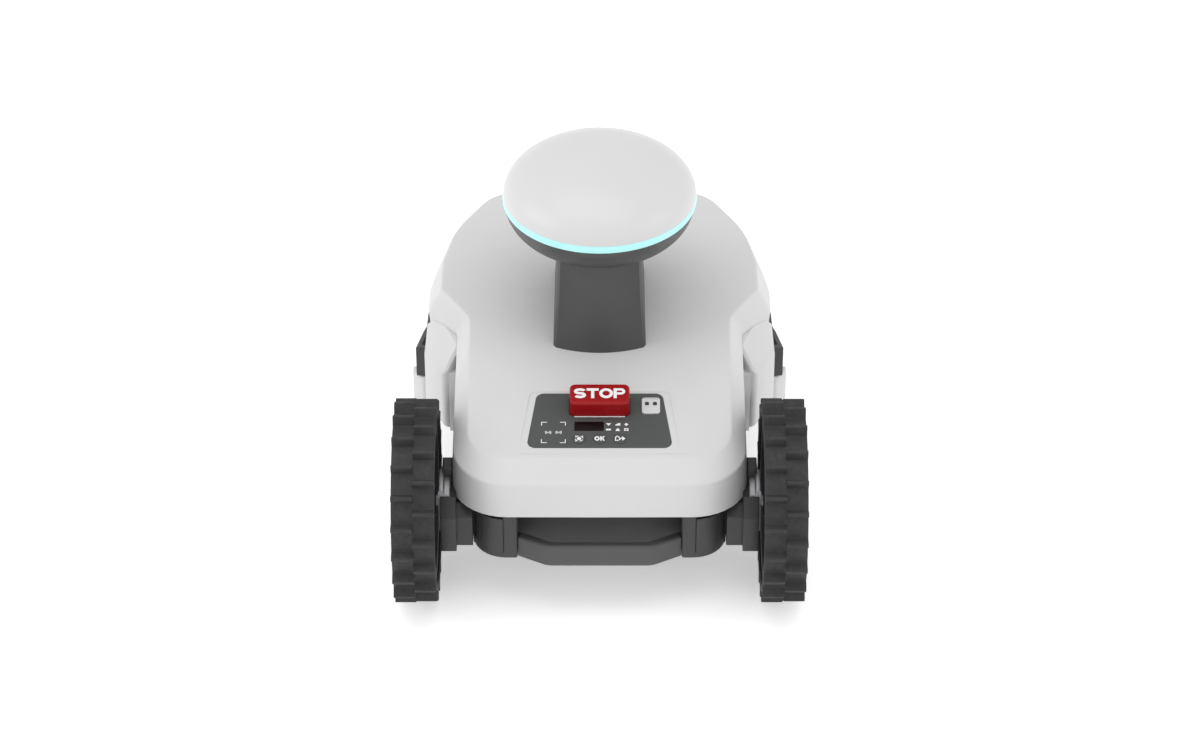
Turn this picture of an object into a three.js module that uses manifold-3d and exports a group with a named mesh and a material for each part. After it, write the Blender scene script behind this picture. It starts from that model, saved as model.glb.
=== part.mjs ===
// Robotic lawn mower: cleated rear drive wheels, swivelling front casters, a height-adjusted cutting disc,
// a white shell with a keypad, and a satellite antenna on a neck. Millimetres, +Z up, +Y is forward.
// Inside the robot group, y = 0 is the rear axle and z = 0 is the ground.
import * as THREE from 'three';
import { ConvexGeometry } from 'three/addons/geometries/ConvexGeometry.js';
import { mergeVertices } from 'three/addons/utils/BufferGeometryUtils.js';
import Module from 'manifold-3d';

const wasm = await Module();
wasm.setup();

// ---------------------------------------------------------------- driving dimensions
const GAP = 0.3;                        // clearance between touching pieces
const DEG = Math.PI / 180;
const TYRE_RADIUS = 105;
const HALF_WIDTH = 210;                 // to the outer face of the drive tyres
const NOSE_Y = 455;                     // front of the bumper, from the rear axle
const AXLE_Y = (TYRE_RADIUS - NOSE_Y) / 2;
const TYRE_WIDTH = 44;
const RIM_RADIUS = 87.4;
const TREAD_BASE_RADIUS = 94.7;
const CLEATS = 20;
const CLEAT_PHASE = 2.8;                // degrees above the rearward horizontal, first row
const SKIRT_Z = 118;
const SHELL_WALL = 3;
const FLOOR_Z = 60;                     // underside of the chassis
const CHASSIS_WALL = 3;
const CHASSIS_TOP_Z = 124;
const DECK_Y = 165;                     // axis of the cutting disc
const PANEL_Y = 34.2;                   // centre of the control panel
const PANEL_HALF_LENGTH = 36.8;
const PANEL_REAR_HALF = 74;
const PANEL_FRONT_HALF = 64.5;
const RECESS_DEPTH = 1.5;
const ANTENNA_Y = 203;
const RING_BOTTOM_Z = 341;
const RING_TOP_Z = 349.7;
const CASTER_X = 112;
const CASTER_STEM_Y = 372;
const CASTER_TRAIL = 25;
const CASTER_AXLE_Z = 42;
const PINION_Y = 24.5;                  // drive motor axis
const PINION_Z = 84.4;
const BUMPER_BOTTOM_Z = 112;
const BUMPER_TOP_Z = 150;
const COVER_RIDGE_Z = 150;             // ridge of the side covers
const COVER_BOTTOM_Z = 70;

const COLOURS = {
  shell: 0xd9dadb, dark: 0x4d4e50, panel: 0x555658, tyre: 0x3a3b3c, stop: 0xb22a2d, glow: 0xbcf2f2,
  dome: 0xdcdcdd, steel: 0x9a9ca0, brass: 0xb5924c, board: 0x2f5a3c, battery: 0x2c3036, glass: 0x16090a,
};

// ---------------------------------------------------------------- solids
function toSolid(geometry) {
  const bare = geometry.clone();
  for (const name of Object.keys(bare.attributes)) {
    if (name !== 'position') bare.deleteAttribute(name);
  }
  const merged = mergeVertices(bare, 1e-4);
  const vertProperties = new Float32Array(merged.attributes.position.array);
  const triVerts = new Uint32Array(merged.index.array);
  return new wasm.Manifold(new wasm.Mesh({ numProp: 3, vertProperties, triVerts }));
}

function toGeometry(solid) {
  const mesh = solid.getMesh();
  const geometry = new THREE.BufferGeometry();
  geometry.setAttribute('position', new THREE.BufferAttribute(new Float32Array(mesh.vertProperties), 3));
  geometry.setIndex(new THREE.BufferAttribute(new Uint32Array(mesh.triVerts), 1));
  geometry.computeVertexNormals();
  return geometry;
}

function join(first, ...others) {
  return toGeometry(others.reduce((sum, piece) => sum.add(toSolid(piece)), toSolid(first)));
}

function cut(block, ...tools) {
  return toGeometry(tools.reduce((rest, tool) => rest.subtract(toSolid(tool)), toSolid(block)));
}

function common(first, second) {
  return toGeometry(toSolid(first).intersect(toSolid(second)));
}

function box(x0, x1, y0, y1, z0, z1) {
  const geometry = new THREE.BoxGeometry(x1 - x0, y1 - y0, z1 - z0);
  return geometry.translate((x0 + x1) / 2, (y0 + y1) / 2, (z0 + z1) / 2);
}

function prismZ(points, z0, z1) {
  const shape = new THREE.Shape(points.map(([x, y]) => new THREE.Vector2(x, y)));
  const geometry = new THREE.ExtrudeGeometry(shape, { depth: z1 - z0, bevelEnabled: false, curveSegments: 6 });
  return geometry.translate(0, 0, z0);
}

const Y_Z_X = new THREE.Matrix4().makeBasis(
  new THREE.Vector3(0, 1, 0), new THREE.Vector3(0, 0, 1), new THREE.Vector3(1, 0, 0));

// Turns a solid made along Z so that its x, y, z lie along the object's Y, Z, X.
function alongX(geometry) {
  return geometry.applyMatrix4(Y_Z_X);
}

function prismX(points, x0, x1) {
  return alongX(prismZ(points, x0, x1));
}

// A solid of revolution about Z. The profile is a list of [radius, height], anticlockwise, that
// starts and ends on the axis or closes on itself.
function turned(profile, segments) {
  const points = profile.map(([r, h]) => new THREE.Vector2(r, h));
  if (profile[0][0] > 0) points.push(points[0].clone());
  return new THREE.LatheGeometry(points, segments).rotateX(Math.PI / 2);
}

function cylinderZ(radius, z0, z1, x = 0, y = 0, segments = 24) {
  const geometry = new THREE.CylinderGeometry(radius, radius, z1 - z0, segments);
  return geometry.rotateX(Math.PI / 2).translate(x, y, (z0 + z1) / 2);
}

function cylinderX(radius, x0, x1, y, z, segments = 24) {
  return alongX(cylinderZ(radius, x0, x1, y, z, segments));
}

function mirrored(geometry) {
  const copy = toGeometry(toSolid(geometry));
  copy.scale(-1, 1, 1);
  const index = copy.index.array;
  for (let i = 0; i < index.length; i += 3) {
    [index[i], index[i + 1]] = [index[i + 1], index[i]];
  }
  return copy;
}

// A run of points with each corner [x, y, radius] turned into an arc.
function rounded(start, corners, end, arcSteps, between) {
  const knots = [start, ...corners, end];
  const path = [new THREE.Vector2(...start)];
  corners.forEach(([x, y, radius], i) => {
    const corner = new THREE.Vector2(x, y);
    const into = corner.clone().sub(new THREE.Vector2(knots[i][0], knots[i][1])).normalize();
    const out = new THREE.Vector2(knots[i + 2][0], knots[i + 2][1]).sub(corner).normalize();
    const turn = Math.atan2(into.cross(out), into.dot(out));
    const first = corner.clone().addScaledVector(into, -radius * Math.tan(Math.abs(turn) / 2));
    const side = new THREE.Vector2(-into.y, into.x).multiplyScalar(Math.sign(turn) * radius);
    const centre = first.clone().add(side);
    const last = path[path.length - 1].clone();
    if (i > 0) {
      for (let k = 1; k <= between; k++) path.push(last.clone().lerp(first, k / (between + 1)));
    }
    for (let k = 0; k <= arcSteps; k++) path.push(first.clone().rotateAround(centre, turn * k / arcSteps));
  });
  path.push(new THREE.Vector2(...end));
  return path;
}

// The right half of a plan outline, from its rear centre to its front centre.
function halfOutline(rearY, corners, frontY, arcSteps = 4, between = 1) {
  return rounded([0, rearY], corners, [0, frontY], arcSteps, between);
}

// The same half outline moved inwards; a negative distance moves it outwards.
function inset(half, distance) {
  return half.map((point, i) => {
    const before = half[Math.max(i - 1, 0)];
    const after = half[Math.min(i + 1, half.length - 1)];
    const along = after.clone().sub(before).normalize();
    const moved = new THREE.Vector2(point.x - along.y * distance, point.y + along.x * distance);
    if (i === 0 || i === half.length - 1) moved.x = 0;
    return moved;
  });
}

// A closed solid through stacked levels, each a half outline with a height for every y.
function stack(levels) {
  const count = levels[0].half.length;
  const around = 2 * (count - 1);
  const positions = [];
  const index = [];
  const right = (level, k) => level * around + k;
  const left = (level, k) => level * around + (around - k) % around;
  for (const { half, height } of levels) {
    for (const p of half) positions.push(p.x, p.y, height(p.y));
    for (const p of half.slice(1, -1).reverse()) positions.push(-p.x, p.y, height(p.y));
  }
  for (let level = 0; level < levels.length - 1; level++) {
    for (let j = 0; j < around; j++) {
      const a = level * around + j;
      const b = level * around + (j + 1) % around;
      index.push(a, b, b + around, a, b + around, a + around);
    }
  }
  const top = levels.length - 1;
  for (let k = 0; k < count - 1; k++) {
    if (k < count - 2) {
      index.push(right(top, k), right(top, k + 1), left(top, k + 1));
      index.push(right(0, k), left(0, k + 1), right(0, k + 1));
    }
    if (k > 0) {
      index.push(right(top, k), left(top, k + 1), left(top, k));
      index.push(right(0, k), left(0, k), left(0, k + 1));
    }
  }
  const geometry = new THREE.BufferGeometry();
  geometry.setAttribute('position', new THREE.Float32BufferAttribute(positions, 3));
  geometry.setIndex(index);
  geometry.computeVertexNormals();
  return geometry;
}

const flat = (z) => () => z;

// Straight lines between [y, z] knots, continued past the ends.
function heightAlong(knots) {
  return (y) => {
    let i = 0;
    while (i < knots.length - 2 && y > knots[i + 1][0]) i++;
    const [y0, z0] = knots[i];
    const [y1, z1] = knots[i + 1];
    return z0 + (z1 - z0) * (y - y0) / (y1 - y0);
  };
}

// ---------------------------------------------------------------- shell
const topHeight = heightAlong([[-15, 172], [128, 200], [230, 212], [300, 215], [406, 214]]);
const contourHeight = heightAlong([[-43, 158], [215, 180], [424, 186]]);
const PANEL_SLOPE = Math.atan((topHeight(70) - topHeight(-2)) / 72);

const SKIRT = halfOutline(-45.5,
  [[152, -45, 58], [152, 192, 12], [175, 218, 14], [174, 264, 60], [168, 316, 90], [118, 437, 60]], 438);
const CONTOUR = halfOutline(-43.5,
  [[150, -43, 56], [151, 192, 12], [183, 232, 14], [183, 264, 60], [174, 316, 90], [118, 427, 56]], 428);
const PLATEAU = halfOutline(-15.5,
  [[134, -15, 38], [137.5, 183, 26], [168.5, 228, 10], [168, 275, 40], [155, 336, 80], [114, 412, 30]], 412.5);

function shellBlock(outset) {
  return stack([
    { half: inset(SKIRT, -outset), height: flat(SKIRT_Z - outset) },
    { half: inset(CONTOUR, -outset), height: contourHeight },
    { half: inset(PLATEAU, -outset), height: (y) => topHeight(y) + outset },
  ]);
}

function shellCavity() {
  return stack([
    { half: inset(SKIRT, SHELL_WALL), height: flat(SKIRT_Z - 10) },
    { half: inset(CONTOUR, SHELL_WALL), height: (y) => contourHeight(y) - 1.5 },
    { half: inset(PLATEAU, SHELL_WALL), height: (y) => topHeight(y) - SHELL_WALL - 0.2 },
  ]);
}

// The control panel's own frame: x across, y up the slope, z out of the shell.
const panelFrame = new THREE.Matrix4().makeRotationX(PANEL_SLOPE)
  .setPosition(0, PANEL_Y, topHeight(PANEL_Y));

function panelPlate(margin, z0, z1) {
  const half = halfOutline(-PANEL_HALF_LENGTH - margin, [
    [PANEL_REAR_HALF + margin, -PANEL_HALF_LENGTH - margin + 0.2, 9 + margin],
    [PANEL_FRONT_HALF + margin, PANEL_HALF_LENGTH + margin - 0.2, 9 + margin],
  ], PANEL_HALF_LENGTH + margin, 4, 0);
  return stack([{ half, height: flat(z0) }, { half, height: flat(z1) }]);
}

function topShell() {
  const recess = panelPlate(0.4, -RECESS_DEPTH, 20).applyMatrix4(panelFrame);
  const bay = panelPlate(-1, -20, 1).applyMatrix4(panelFrame);
  const cable = box(-20, 20, ANTENNA_Y - 30, ANTENNA_Y + 30, 180, 230);
  return cut(shellBlock(0), shellCavity(), recess, bay, cable);
}

// The white pod ahead of a drive wheel, right-hand side. Its top slopes up to the shell's contour.
function sideCover() {
  const ridge = [[162, 153], [186, 197]];
  const foot = [[183, 222], [152, 190], [157, 166]];
  const low = [...ridge, ...foot].map(([x, y]) => new THREE.Vector3(x, y, 117));
  const fairing = new ConvexGeometry([
    ...low,
    ...ridge.map(([x, y]) => new THREE.Vector3(x, y, COVER_RIDGE_Z)),
    new THREE.Vector3(157, 166, COVER_RIDGE_Z + 6),
    new THREE.Vector3(183, 222, 176),
    new THREE.Vector3(152, 190, 174),
  ]);
  const plan = [[146.3, 172], [157, 166], ...ridge, [183, 228], [146.3, 228]];
  const lower = prismZ(plan, COVER_BOTTOM_Z, 117.7);
  const lobe = prismZ([[184, 204], [191, 206], [201, 219], [201, 228], [184, 228]], COVER_BOTTOM_Z, 110);
  const pocket = box(140, 179, 196, 224, COVER_BOTTOM_Z + 4, 114);
  return cut(join(lower, fairing, lobe), shellBlock(1), pocket);
}

// ---------------------------------------------------------------- control panel
const STOP = { x0: -31, x1: 31, y0: 6.8, y1: 34.8, bottom: -6, top: 18.2 };
const KEY_RADIUS = 7;
const KEY_Y = -24.8;
const KEY_PITCH = 20.8;
const WINDOW = { x0: -25.6, x1: 4.1, y0: -14.3, y1: -2 };
const RAIN = { x0: 43.3, x1: 62.2, y0: 9.5, y1: 31.2 };

function controlPanel() {
  const plate = panelPlate(0, -RECESS_DEPTH + GAP, 0);
  const tray = panelPlate(-1.4, -8, -1);
  const stopWell = box(STOP.x0 - GAP, STOP.x1 + GAP, STOP.y0 - GAP, STOP.y1 + GAP, -20, 5);
  const wells = [-1, 0, 1].map((side) =>
    cylinderZ(KEY_RADIUS + GAP, -20, 5, side * KEY_PITCH, KEY_Y, 20));
  const windowSeat = box(WINDOW.x0 - GAP, WINDOW.x1 + GAP, WINDOW.y0 - GAP, WINDOW.y1 + GAP, -2, 5);
  const rainSeat = box(RAIN.x0 - GAP, RAIN.x1 + GAP, RAIN.y0 - GAP, RAIN.y1 + GAP, -4, 5);
  return cut(join(plate, tray), stopWell, ...wells, windowSeat, rainSeat);
}

function stopButton() {
  const r = 3;
  const { x0, x1, y0, y1, bottom, top } = STOP;
  const body = prismZ([[x0 + r, y0], [x1 - r, y0], [x1, y0 + r], [x1, y1 - r], [x1 - r, y1],
    [x0 + r, y1], [x0, y1 - r], [x0, y0 + r]], bottom, top);
  return body;
}

// ---------------------------------------------------------------- antenna
function quarterArc(radius, depth, baseZ, steps) {
  return Array.from({ length: steps + 1 }, (_, i) => {
    const angle = 90 * DEG * i / steps;
    return [radius * Math.sin(angle), baseZ + depth * Math.cos(angle)];
  });
}

function antennaBowl() {
  const outer = quarterArc(98.5, -52.7, RING_BOTTOM_Z - GAP, 6);
  const inner = quarterArc(88, -46.7, RING_BOTTOM_Z - GAP, 4).reverse();
  return cut(turned([...outer, ...inner], 36), cylinderZ(12, 270, 310, 0, 0, 12));
}

function lightRing() {
  const middle = (RING_BOTTOM_Z + RING_TOP_Z) / 2;
  return turned([[92, RING_BOTTOM_Z], [99, RING_BOTTOM_Z], [100.5, middle - 2], [100.5, middle + 2],
    [99.6, RING_TOP_Z], [92, RING_TOP_Z]], 40);
}

function antennaDome() {
  const outer = quarterArc(100, 48.6, RING_TOP_Z + GAP, 7).reverse();
  const inner = quarterArc(94, 43, RING_TOP_Z + GAP, 4);
  return turned([...inner, ...outer], 36);
}

function neckLevel(rearY, frontY, halfWidth) {
  const corners = [[22, rearY + 1.5, 60], [halfWidth, rearY + 8, 4], [halfWidth, frontY - 9, 12]];
  return halfOutline(rearY, corners, frontY, 3, 0);
}

function antennaNeck() {
  const column = stack([
    { half: neckLevel(126, 280, 48.8), height: flat(185) },
    { half: neckLevel(128, 278, 48.4), height: flat(204) },
    { half: neckLevel(134, 272, 45), height: flat(250) },
    { half: neckLevel(139, 267, 43), height: flat(318) },
  ]);
  const bowlRoom = turned([...quarterArc(98.9, -53.1, RING_BOTTOM_Z - GAP, 6), [0, RING_BOTTOM_Z]], 36);
  const shaft = box(-18, 18, ANTENNA_Y - 28, ANTENNA_Y + 28, 150, 330);
  return cut(column, bowlRoom.translate(0, ANTENNA_Y, 0), shellBlock(GAP), shaft);
}

// ---------------------------------------------------------------- chassis
const CHASSIS = halfOutline(-39.5,
  [[130, -39, 34], [130, 139, 3], [146, 148, 3], [146, 304, 30], [126, 391, 30]], 392);
const RECESS_HALF = 84;
const RECESS_Y = -12;
const WELL_RADIUS = 122;
const WELL_ROOF_Z = 98;
const DECK_RADIUS = WELL_RADIUS + 3;
const NOSE_START_Y = 296;
const NOSE_FLOOR_Z = 106;
const COVER_SCREW_X = 56.5;
const COVER_SCREW_Y = 15;
const BATTERY = { x0: -50, x1: 50, y0: -4, y1: 33, z0: 60, z1: 106 };
const LEAD_SCREW_X = 45;
const TONGUE_X = 60;

function chassisBlock() {
  const tub = stack([{ half: CHASSIS, height: flat(FLOOR_Z) }, { half: CHASSIS, height: flat(CHASSIS_TOP_Z) }]);
  const underNose = box(-200, 200, NOSE_START_Y, 500, 0, NOSE_FLOOR_Z);
  const deckHole = cylinderZ(DECK_RADIUS + GAP, 0, 200, 0, DECK_Y, 48);
  const behind = box(-200, 200, -60, RECESS_Y, 0, 200);
  return cut(tub, underNose, deckHole, behind);
}

function chassisCavity() {
  const wall = CHASSIS_WALL;
  const half = inset(CHASSIS, wall);
  const room = stack([{ half, height: flat(FLOOR_Z + wall) }, { half, height: flat(200) }]);
  const nose = box(-200, 200, NOSE_START_Y - wall, 500, 0, NOSE_FLOOR_Z + wall);
  const behind = box(-200, 200, -60, RECESS_Y + wall, 0, 300);
  return cut(room, nose, behind);
}

function chassis() {
  const sides = [-1, 1];
  const casterBosses = sides.map((side) =>
    cylinderZ(13, NOSE_FLOOR_Z, CHASSIS_TOP_Z, side * CASTER_X, CASTER_STEM_Y, 20));
  const rails = sides.map((side) =>
    box(side * 47 - 3, side * 47 + 3, 310, 370, NOSE_FLOOR_Z + 1, 117));
  const cradles = sides.map((side) => box(side * 100 - 15, side * 100 + 15, 14, 35, FLOOR_Z + 1, 72));
  const body = join(cut(chassisBlock(), chassisCavity()), ...casterBosses, ...rails, ...cradles);
  const stemHoles = sides.map((side) => cylinderZ(8.4, 90, 140, side * CASTER_X, CASTER_STEM_Y, 20));
  const motorRooms = sides.map((side) => cylinderX(20.5, side * 96.5 - 30.4, side * 96.5 + 30.4,
    PINION_Y, PINION_Z, 28));
  const shaftHoles = sides.map((side) => cylinderX(5, side * 129 - 9, side * 129 + 9, PINION_Y, PINION_Z, 16));
  const screwHoles = sides.map((side) => cylinderZ(2.4, 50, 70, side * COVER_SCREW_X, COVER_SCREW_Y, 12));
  const tongueSlots = sides.map((side) =>
    box(side * TONGUE_X - 10.5, side * TONGUE_X + 10.5, 380, 400, 109.2, 117.8));
  return cut(body, ...stemHoles, ...motorRooms, ...shaftHoles, ...screwHoles, ...tongueSlots,
    box(BATTERY.x0 - 2, BATTERY.x1 + 2, BATTERY.y0 - 1, BATTERY.y1 + 1, 50, 70));
}

// The round bowl over the cutting disc, open downwards, with the collar that guides the motor carriage.
// A flange round its rim lies on the chassis floor.
function cuttingDeck() {
  const bowl = cut(cylinderZ(DECK_RADIUS, FLOOR_Z, WELL_ROOF_Z + CHASSIS_WALL, 0, DECK_Y, 48),
    cylinderZ(WELL_RADIUS, 0, WELL_ROOF_Z, 0, DECK_Y, 48));
  const flangeZ = FLOOR_Z + CHASSIS_WALL + GAP;
  const half = inset(CHASSIS, CHASSIS_WALL + GAP);
  const room = stack([{ half, height: flat(flangeZ) }, { half, height: flat(flangeZ + 3) }]);
  const disc = cylinderZ(DECK_RADIUS + 2.5, flangeZ, flangeZ + 3, 0, DECK_Y, 48);
  const flange = cut(common(disc, room), cylinderZ(DECK_RADIUS - 1, 0, 200, 0, DECK_Y, 48));
  const collar = cylinderZ(35, WELL_ROOF_Z, 110, 0, DECK_Y, 32);
  return cut(join(bowl, flange, collar), cylinderZ(31.5, 90, 120, 0, DECK_Y, 32),
    cylinderZ(4.4, 90, 110, LEAD_SCREW_X, DECK_Y, 16));
}

// The rounded corner block behind the chassis that holds one end of the carry handle, right-hand side.
function cornerPost() {
  const height = [{ half: CHASSIS, height: flat(FLOOR_Z) }, { half: CHASSIS, height: flat(CHASSIS_TOP_Z) }];
  return cut(stack(height), box(-200, RECESS_HALF, -60, 500, 0, 200),
    box(RECESS_HALF - 1, 200, RECESS_Y - GAP, 500, 0, 200));
}

// The rear carry handle, bulging backwards between the chassis corners.
function carryHandle() {
  const end = RECESS_HALF - GAP;
  const outline = [[-end, -38], [-50, -53], [50, -53], [end, -38], [end, -27], [47, -44], [-47, -44], [-end, -27]];
  return prismZ(outline, FLOOR_Z, 86);
}

function batteryCover() {
  const plate = box(-62, 62, -8, 38, FLOOR_Z - 2.7, FLOOR_Z - GAP);
  const holes = [-1, 1].map((side) => cylinderZ(2.4, 50, 70, side * COVER_SCREW_X, COVER_SCREW_Y, 12));
  return cut(plate, ...holes);
}

function coverScrew() {
  const head = cylinderZ(4, FLOOR_Z - 5, FLOOR_Z - 3, 0, 0, 12);
  return join(head, cylinderZ(2, FLOOR_Z - 4, FLOOR_Z + 6, 0, 0, 12));
}

// ---------------------------------------------------------------- drive
const GEAR_TEETH = 30;
const PINION_TEETH = 10;
const MODULE_MM = 1.6;                  // pitch diameter per tooth
const meshAngle = Math.atan2(PINION_Z - TYRE_RADIUS, PINION_Y);
const GEAR_X = [155.5, 160.5];

function gearOutline(teeth, firstAngle) {
  const pitchRadius = teeth * MODULE_MM / 2;
  const root = pitchRadius - 2.2;
  const tip = pitchRadius + 1.5;
  const rootHalf = 1.35 / root;
  const tipHalf = 0.45 / tip;
  const points = [];
  for (let i = 0; i < teeth; i++) {
    const middle = firstAngle + i * 2 * Math.PI / teeth;
    for (const [radius, angle] of [[root, -rootHalf], [tip, -tipHalf], [tip, tipHalf], [root, rootHalf]]) {
      points.push([radius * Math.cos(middle + angle), radius * Math.sin(middle + angle)]);
    }
  }
  return points;
}

function driveGear() {
  const blank = prismX(gearOutline(GEAR_TEETH, meshAngle), ...GEAR_X);
  return cut(blank, cylinderX(6.3, 140, 180, 0, 0));
}

function pinion() {
  const firstAngle = meshAngle + Math.PI + Math.PI / PINION_TEETH;
  const teeth = prismX(gearOutline(PINION_TEETH, firstAngle), ...GEAR_X);
  return join(teeth, cylinderX(3, 128, 158, 0, 0, 16));
}

function gearHousing() {
  const outer = prismX([[-30, 62], [60, 62], [60, 108], [54, 116.5], [-14, 116.5], [-30, 104]], 147, 163);
  const inner = prismX([[-25, 64], [45, 64], [45, 104], [38, 112], [-12, 112], [-25, 102]], 130.3, 148);
  const boss = cylinderX(29, 153.6, 164.5, 0, TYRE_RADIUS, 32);
  return cut(join(outer, inner, boss),
    cylinderX(26.8, 154.6, 161.4, 0, TYRE_RADIUS, 32),
    cylinderX(10.6, 154.6, 161.4, PINION_Y, PINION_Z, 20),
    cylinderX(6.4, 142, 170, 0, TYRE_RADIUS),
    cylinderX(4.4, 120, 156, PINION_Y, PINION_Z, 16));
}

function cleatedRow(phase, x0, x1) {
  const points = [];
  const pitch = 2 * Math.PI / CLEATS;
  for (let i = 0; i < CLEATS; i++) {
    const middle = Math.PI - phase * DEG - i * pitch;
    const corners = [[TREAD_BASE_RADIUS, 0.044], [TYRE_RADIUS, 0.017], [TYRE_RADIUS, -0.017],
      [TREAD_BASE_RADIUS, -0.044], [TREAD_BASE_RADIUS, -pitch / 2]];
    for (const [radius, offset] of corners) {
      points.push([radius * Math.cos(middle + offset), radius * Math.sin(middle + offset)]);
    }
  }
  return prismX(points.reverse(), x0, x1);
}

// Both wheels are the same casting, so the rows keep their order on each side.
function driveTyre() {
  const half = TYRE_WIDTH / 2;
  const rows = join(cleatedRow(CLEAT_PHASE, -half, 0.01), cleatedRow(CLEAT_PHASE + 180 / CLEATS, 0, half));
  return cut(rows, cylinderX(RIM_RADIUS + 0.7, -half - 1, half + 1, 0, 0, 40));
}

// The rim's profile is [radius, distance outboard of the tyre's inner face].
function rim() {
  const profile = [[6.4, 2], [16, 2], [16, 27], [81, 27], [81, 3], [RIM_RADIUS, 3], [RIM_RADIUS, 41],
    [81, 41], [78, 32], [18, 32], [18, 40], [6.4, 40]];
  return alongX(turned(profile, 30));
}

// ---------------------------------------------------------------- casters
function casterFork() {
  const y = -CASTER_TRAIL;
  const crown = box(-21, 21, y - 14, 13, 88, 96);
  const stem = cylinderZ(8, 90, 128, 0, 0, 20);
  const armOutline = [[y - 9, CASTER_AXLE_Z - 8], [y + 9, CASTER_AXLE_Z - 8], [10, 90], [y - 12, 90]];
  const arms = [-1, 1].map((side) => prismX(armOutline, side * 19 - 2, side * 19 + 2));
  return cut(join(crown, stem, ...arms), cylinderX(4.4, -30, 30, y, CASTER_AXLE_Z, 16));
}

function casterWheel() {
  const profile = [[4.4, -14], [34, -14], [41.95, -8], [41.95, 8], [34, 14], [4.4, 14]];
  return alongX(turned(profile, 28));
}

// ---------------------------------------------------------------- cutting unit
const DISC_Z = 42;
const BLADE_CIRCLE = 78;

function cutterCarriage() {
  const can = cylinderZ(30, 50, 118, 0, DECK_Y, 32);
  const arm = box(20, LEAD_SCREW_X + 8, DECK_Y - 8, DECK_Y + 8, 112, 118);
  return cut(join(can, arm), cylinderZ(8.4, 40, 72, 0, DECK_Y, 20),
    cylinderZ(4.4, 100, 130, LEAD_SCREW_X, DECK_Y, 16));
}

function leadScrew() {
  return join(cylinderZ(4, 100, 158, 0, 0, 16), cylinderZ(8, 101.4, 105, 0, 0, 16));
}

function bladeHole(i) {
  const angle = 90 * DEG + i * 120 * DEG;
  return [BLADE_CIRCLE * Math.cos(angle), DECK_Y + BLADE_CIRCLE * Math.sin(angle)];
}

function cuttingDisc() {
  const plate = cylinderZ(92, DISC_Z, DISC_Z + 3, 0, DECK_Y, 36);
  const holes = [0, 1, 2].map((i) => cylinderZ(3.4, 30, 60, ...bladeHole(i), 12));
  return cut(join(plate, cylinderZ(8, DISC_Z + 2, 68, 0, DECK_Y, 20)), ...holes);
}

function skidPlate() {
  const profile = [[0, 33], [50, 33], [60, 36.5], [60, 38.5], [10, 38.5], [10, DISC_Z - GAP], [0, DISC_Z - GAP]];
  return turned(profile, 32).translate(0, DECK_Y, 0);
}

function blade() {
  const outline = [[-8, -7], [28, -9], [34, -3], [34, 3], [28, 9], [-8, 7]];
  return cut(prismZ(outline, 40, 41.3), cylinderZ(3.4, 30, 50, 0, 0, 12));
}

function bladeScrew() {
  return join(cylinderZ(6.5, 37.8, 39.7, 0, 0, 12), cylinderZ(3, 39, 48, 0, 0, 12));
}

// ---------------------------------------------------------------- bumper
const BUMPER = halfOutline(205,
  [[196.5, 206, 1], [190, 238, 30], [189, 268, 50], [181, 322, 90], [130, 454, 60]], 455, 4, 1);

// A band round the nose whose ends stop beside the side covers.
function frontBumper() {
  const outer = stack([{ half: BUMPER, height: flat(BUMPER_BOTTOM_Z) }, { half: BUMPER, height: flat(BUMPER_TOP_Z) }]);
  const innerHalf = inset(BUMPER, 6).map((p) => new THREE.Vector2(p.x, p.y < 213 ? 150 + p.y / 100 : p.y));
  const inner = stack([{ half: innerHalf, height: flat(90) }, { half: innerHalf, height: flat(200) }]);
  const tongues = [-1, 1].map((side) => box(side * TONGUE_X - 10, side * TONGUE_X + 10, 384, 450, 109.5, 117.4));
  const seats = [-1, 1].map((side) => box(side * 24 - 7.3, side * 24 + 7.3, 452.8, 460, 121, 141));
  return cut(join(cut(outer, inner), ...tongues), ...seats);
}

// ---------------------------------------------------------------- assembly
function mesh(name, geometry, colour, roughness = 0.55, metalness = 0) {
  const material = new THREE.MeshStandardMaterial({ color: colour, roughness, metalness });
  const piece = new THREE.Mesh(geometry, material);
  piece.name = name;
  return piece;
}

function placed(piece, x, y, z) {
  piece.position.set(x, y, z);
  return piece;
}

const C = COLOURS;
const robot = new THREE.Group();
robot.position.y = AXLE_Y;

function addPanel() {
  const panel = new THREE.Group();
  panel.applyMatrix4(panelFrame);
  panel.add(mesh('control_panel', controlPanel(), C.panel));
  panel.add(mesh('stop_button', stopButton(), C.stop, 0.4));
  ['mow_key', 'ok_key', 'home_key'].forEach((name, i) => {
    const key = mesh(name, cylinderZ(KEY_RADIUS, -5, -0.1, 0, 0, 20), C.panel);
    panel.add(placed(key, (i - 1) * KEY_PITCH, KEY_Y, 0));
  });
  const { x0, x1, y0, y1 } = WINDOW;
  panel.add(mesh('display_window', box(x0, x1, y0, y1, -1.7, -0.1), C.glass, 0.2));
  panel.add(mesh('rain_sensor', box(RAIN.x0, RAIN.x1, RAIN.y0, RAIN.y1, -3.7, 1.4), C.shell));
  robot.add(panel);
}

function addAntenna() {
  const antenna = new THREE.Group();
  antenna.position.y = ANTENNA_Y;
  antenna.add(mesh('antenna_bowl', antennaBowl(), C.dark));
  antenna.add(mesh('light_ring', lightRing(), C.glow, 0.3));
  antenna.add(mesh('antenna_dome', antennaDome(), C.dome, 0.45));
  antenna.add(mesh('antenna_board', cylinderZ(91, RING_BOTTOM_Z, RING_BOTTOM_Z + 2, 0, 0, 32), C.board));
  robot.add(mesh('antenna_neck', antennaNeck(), C.dark), antenna);
}

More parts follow.
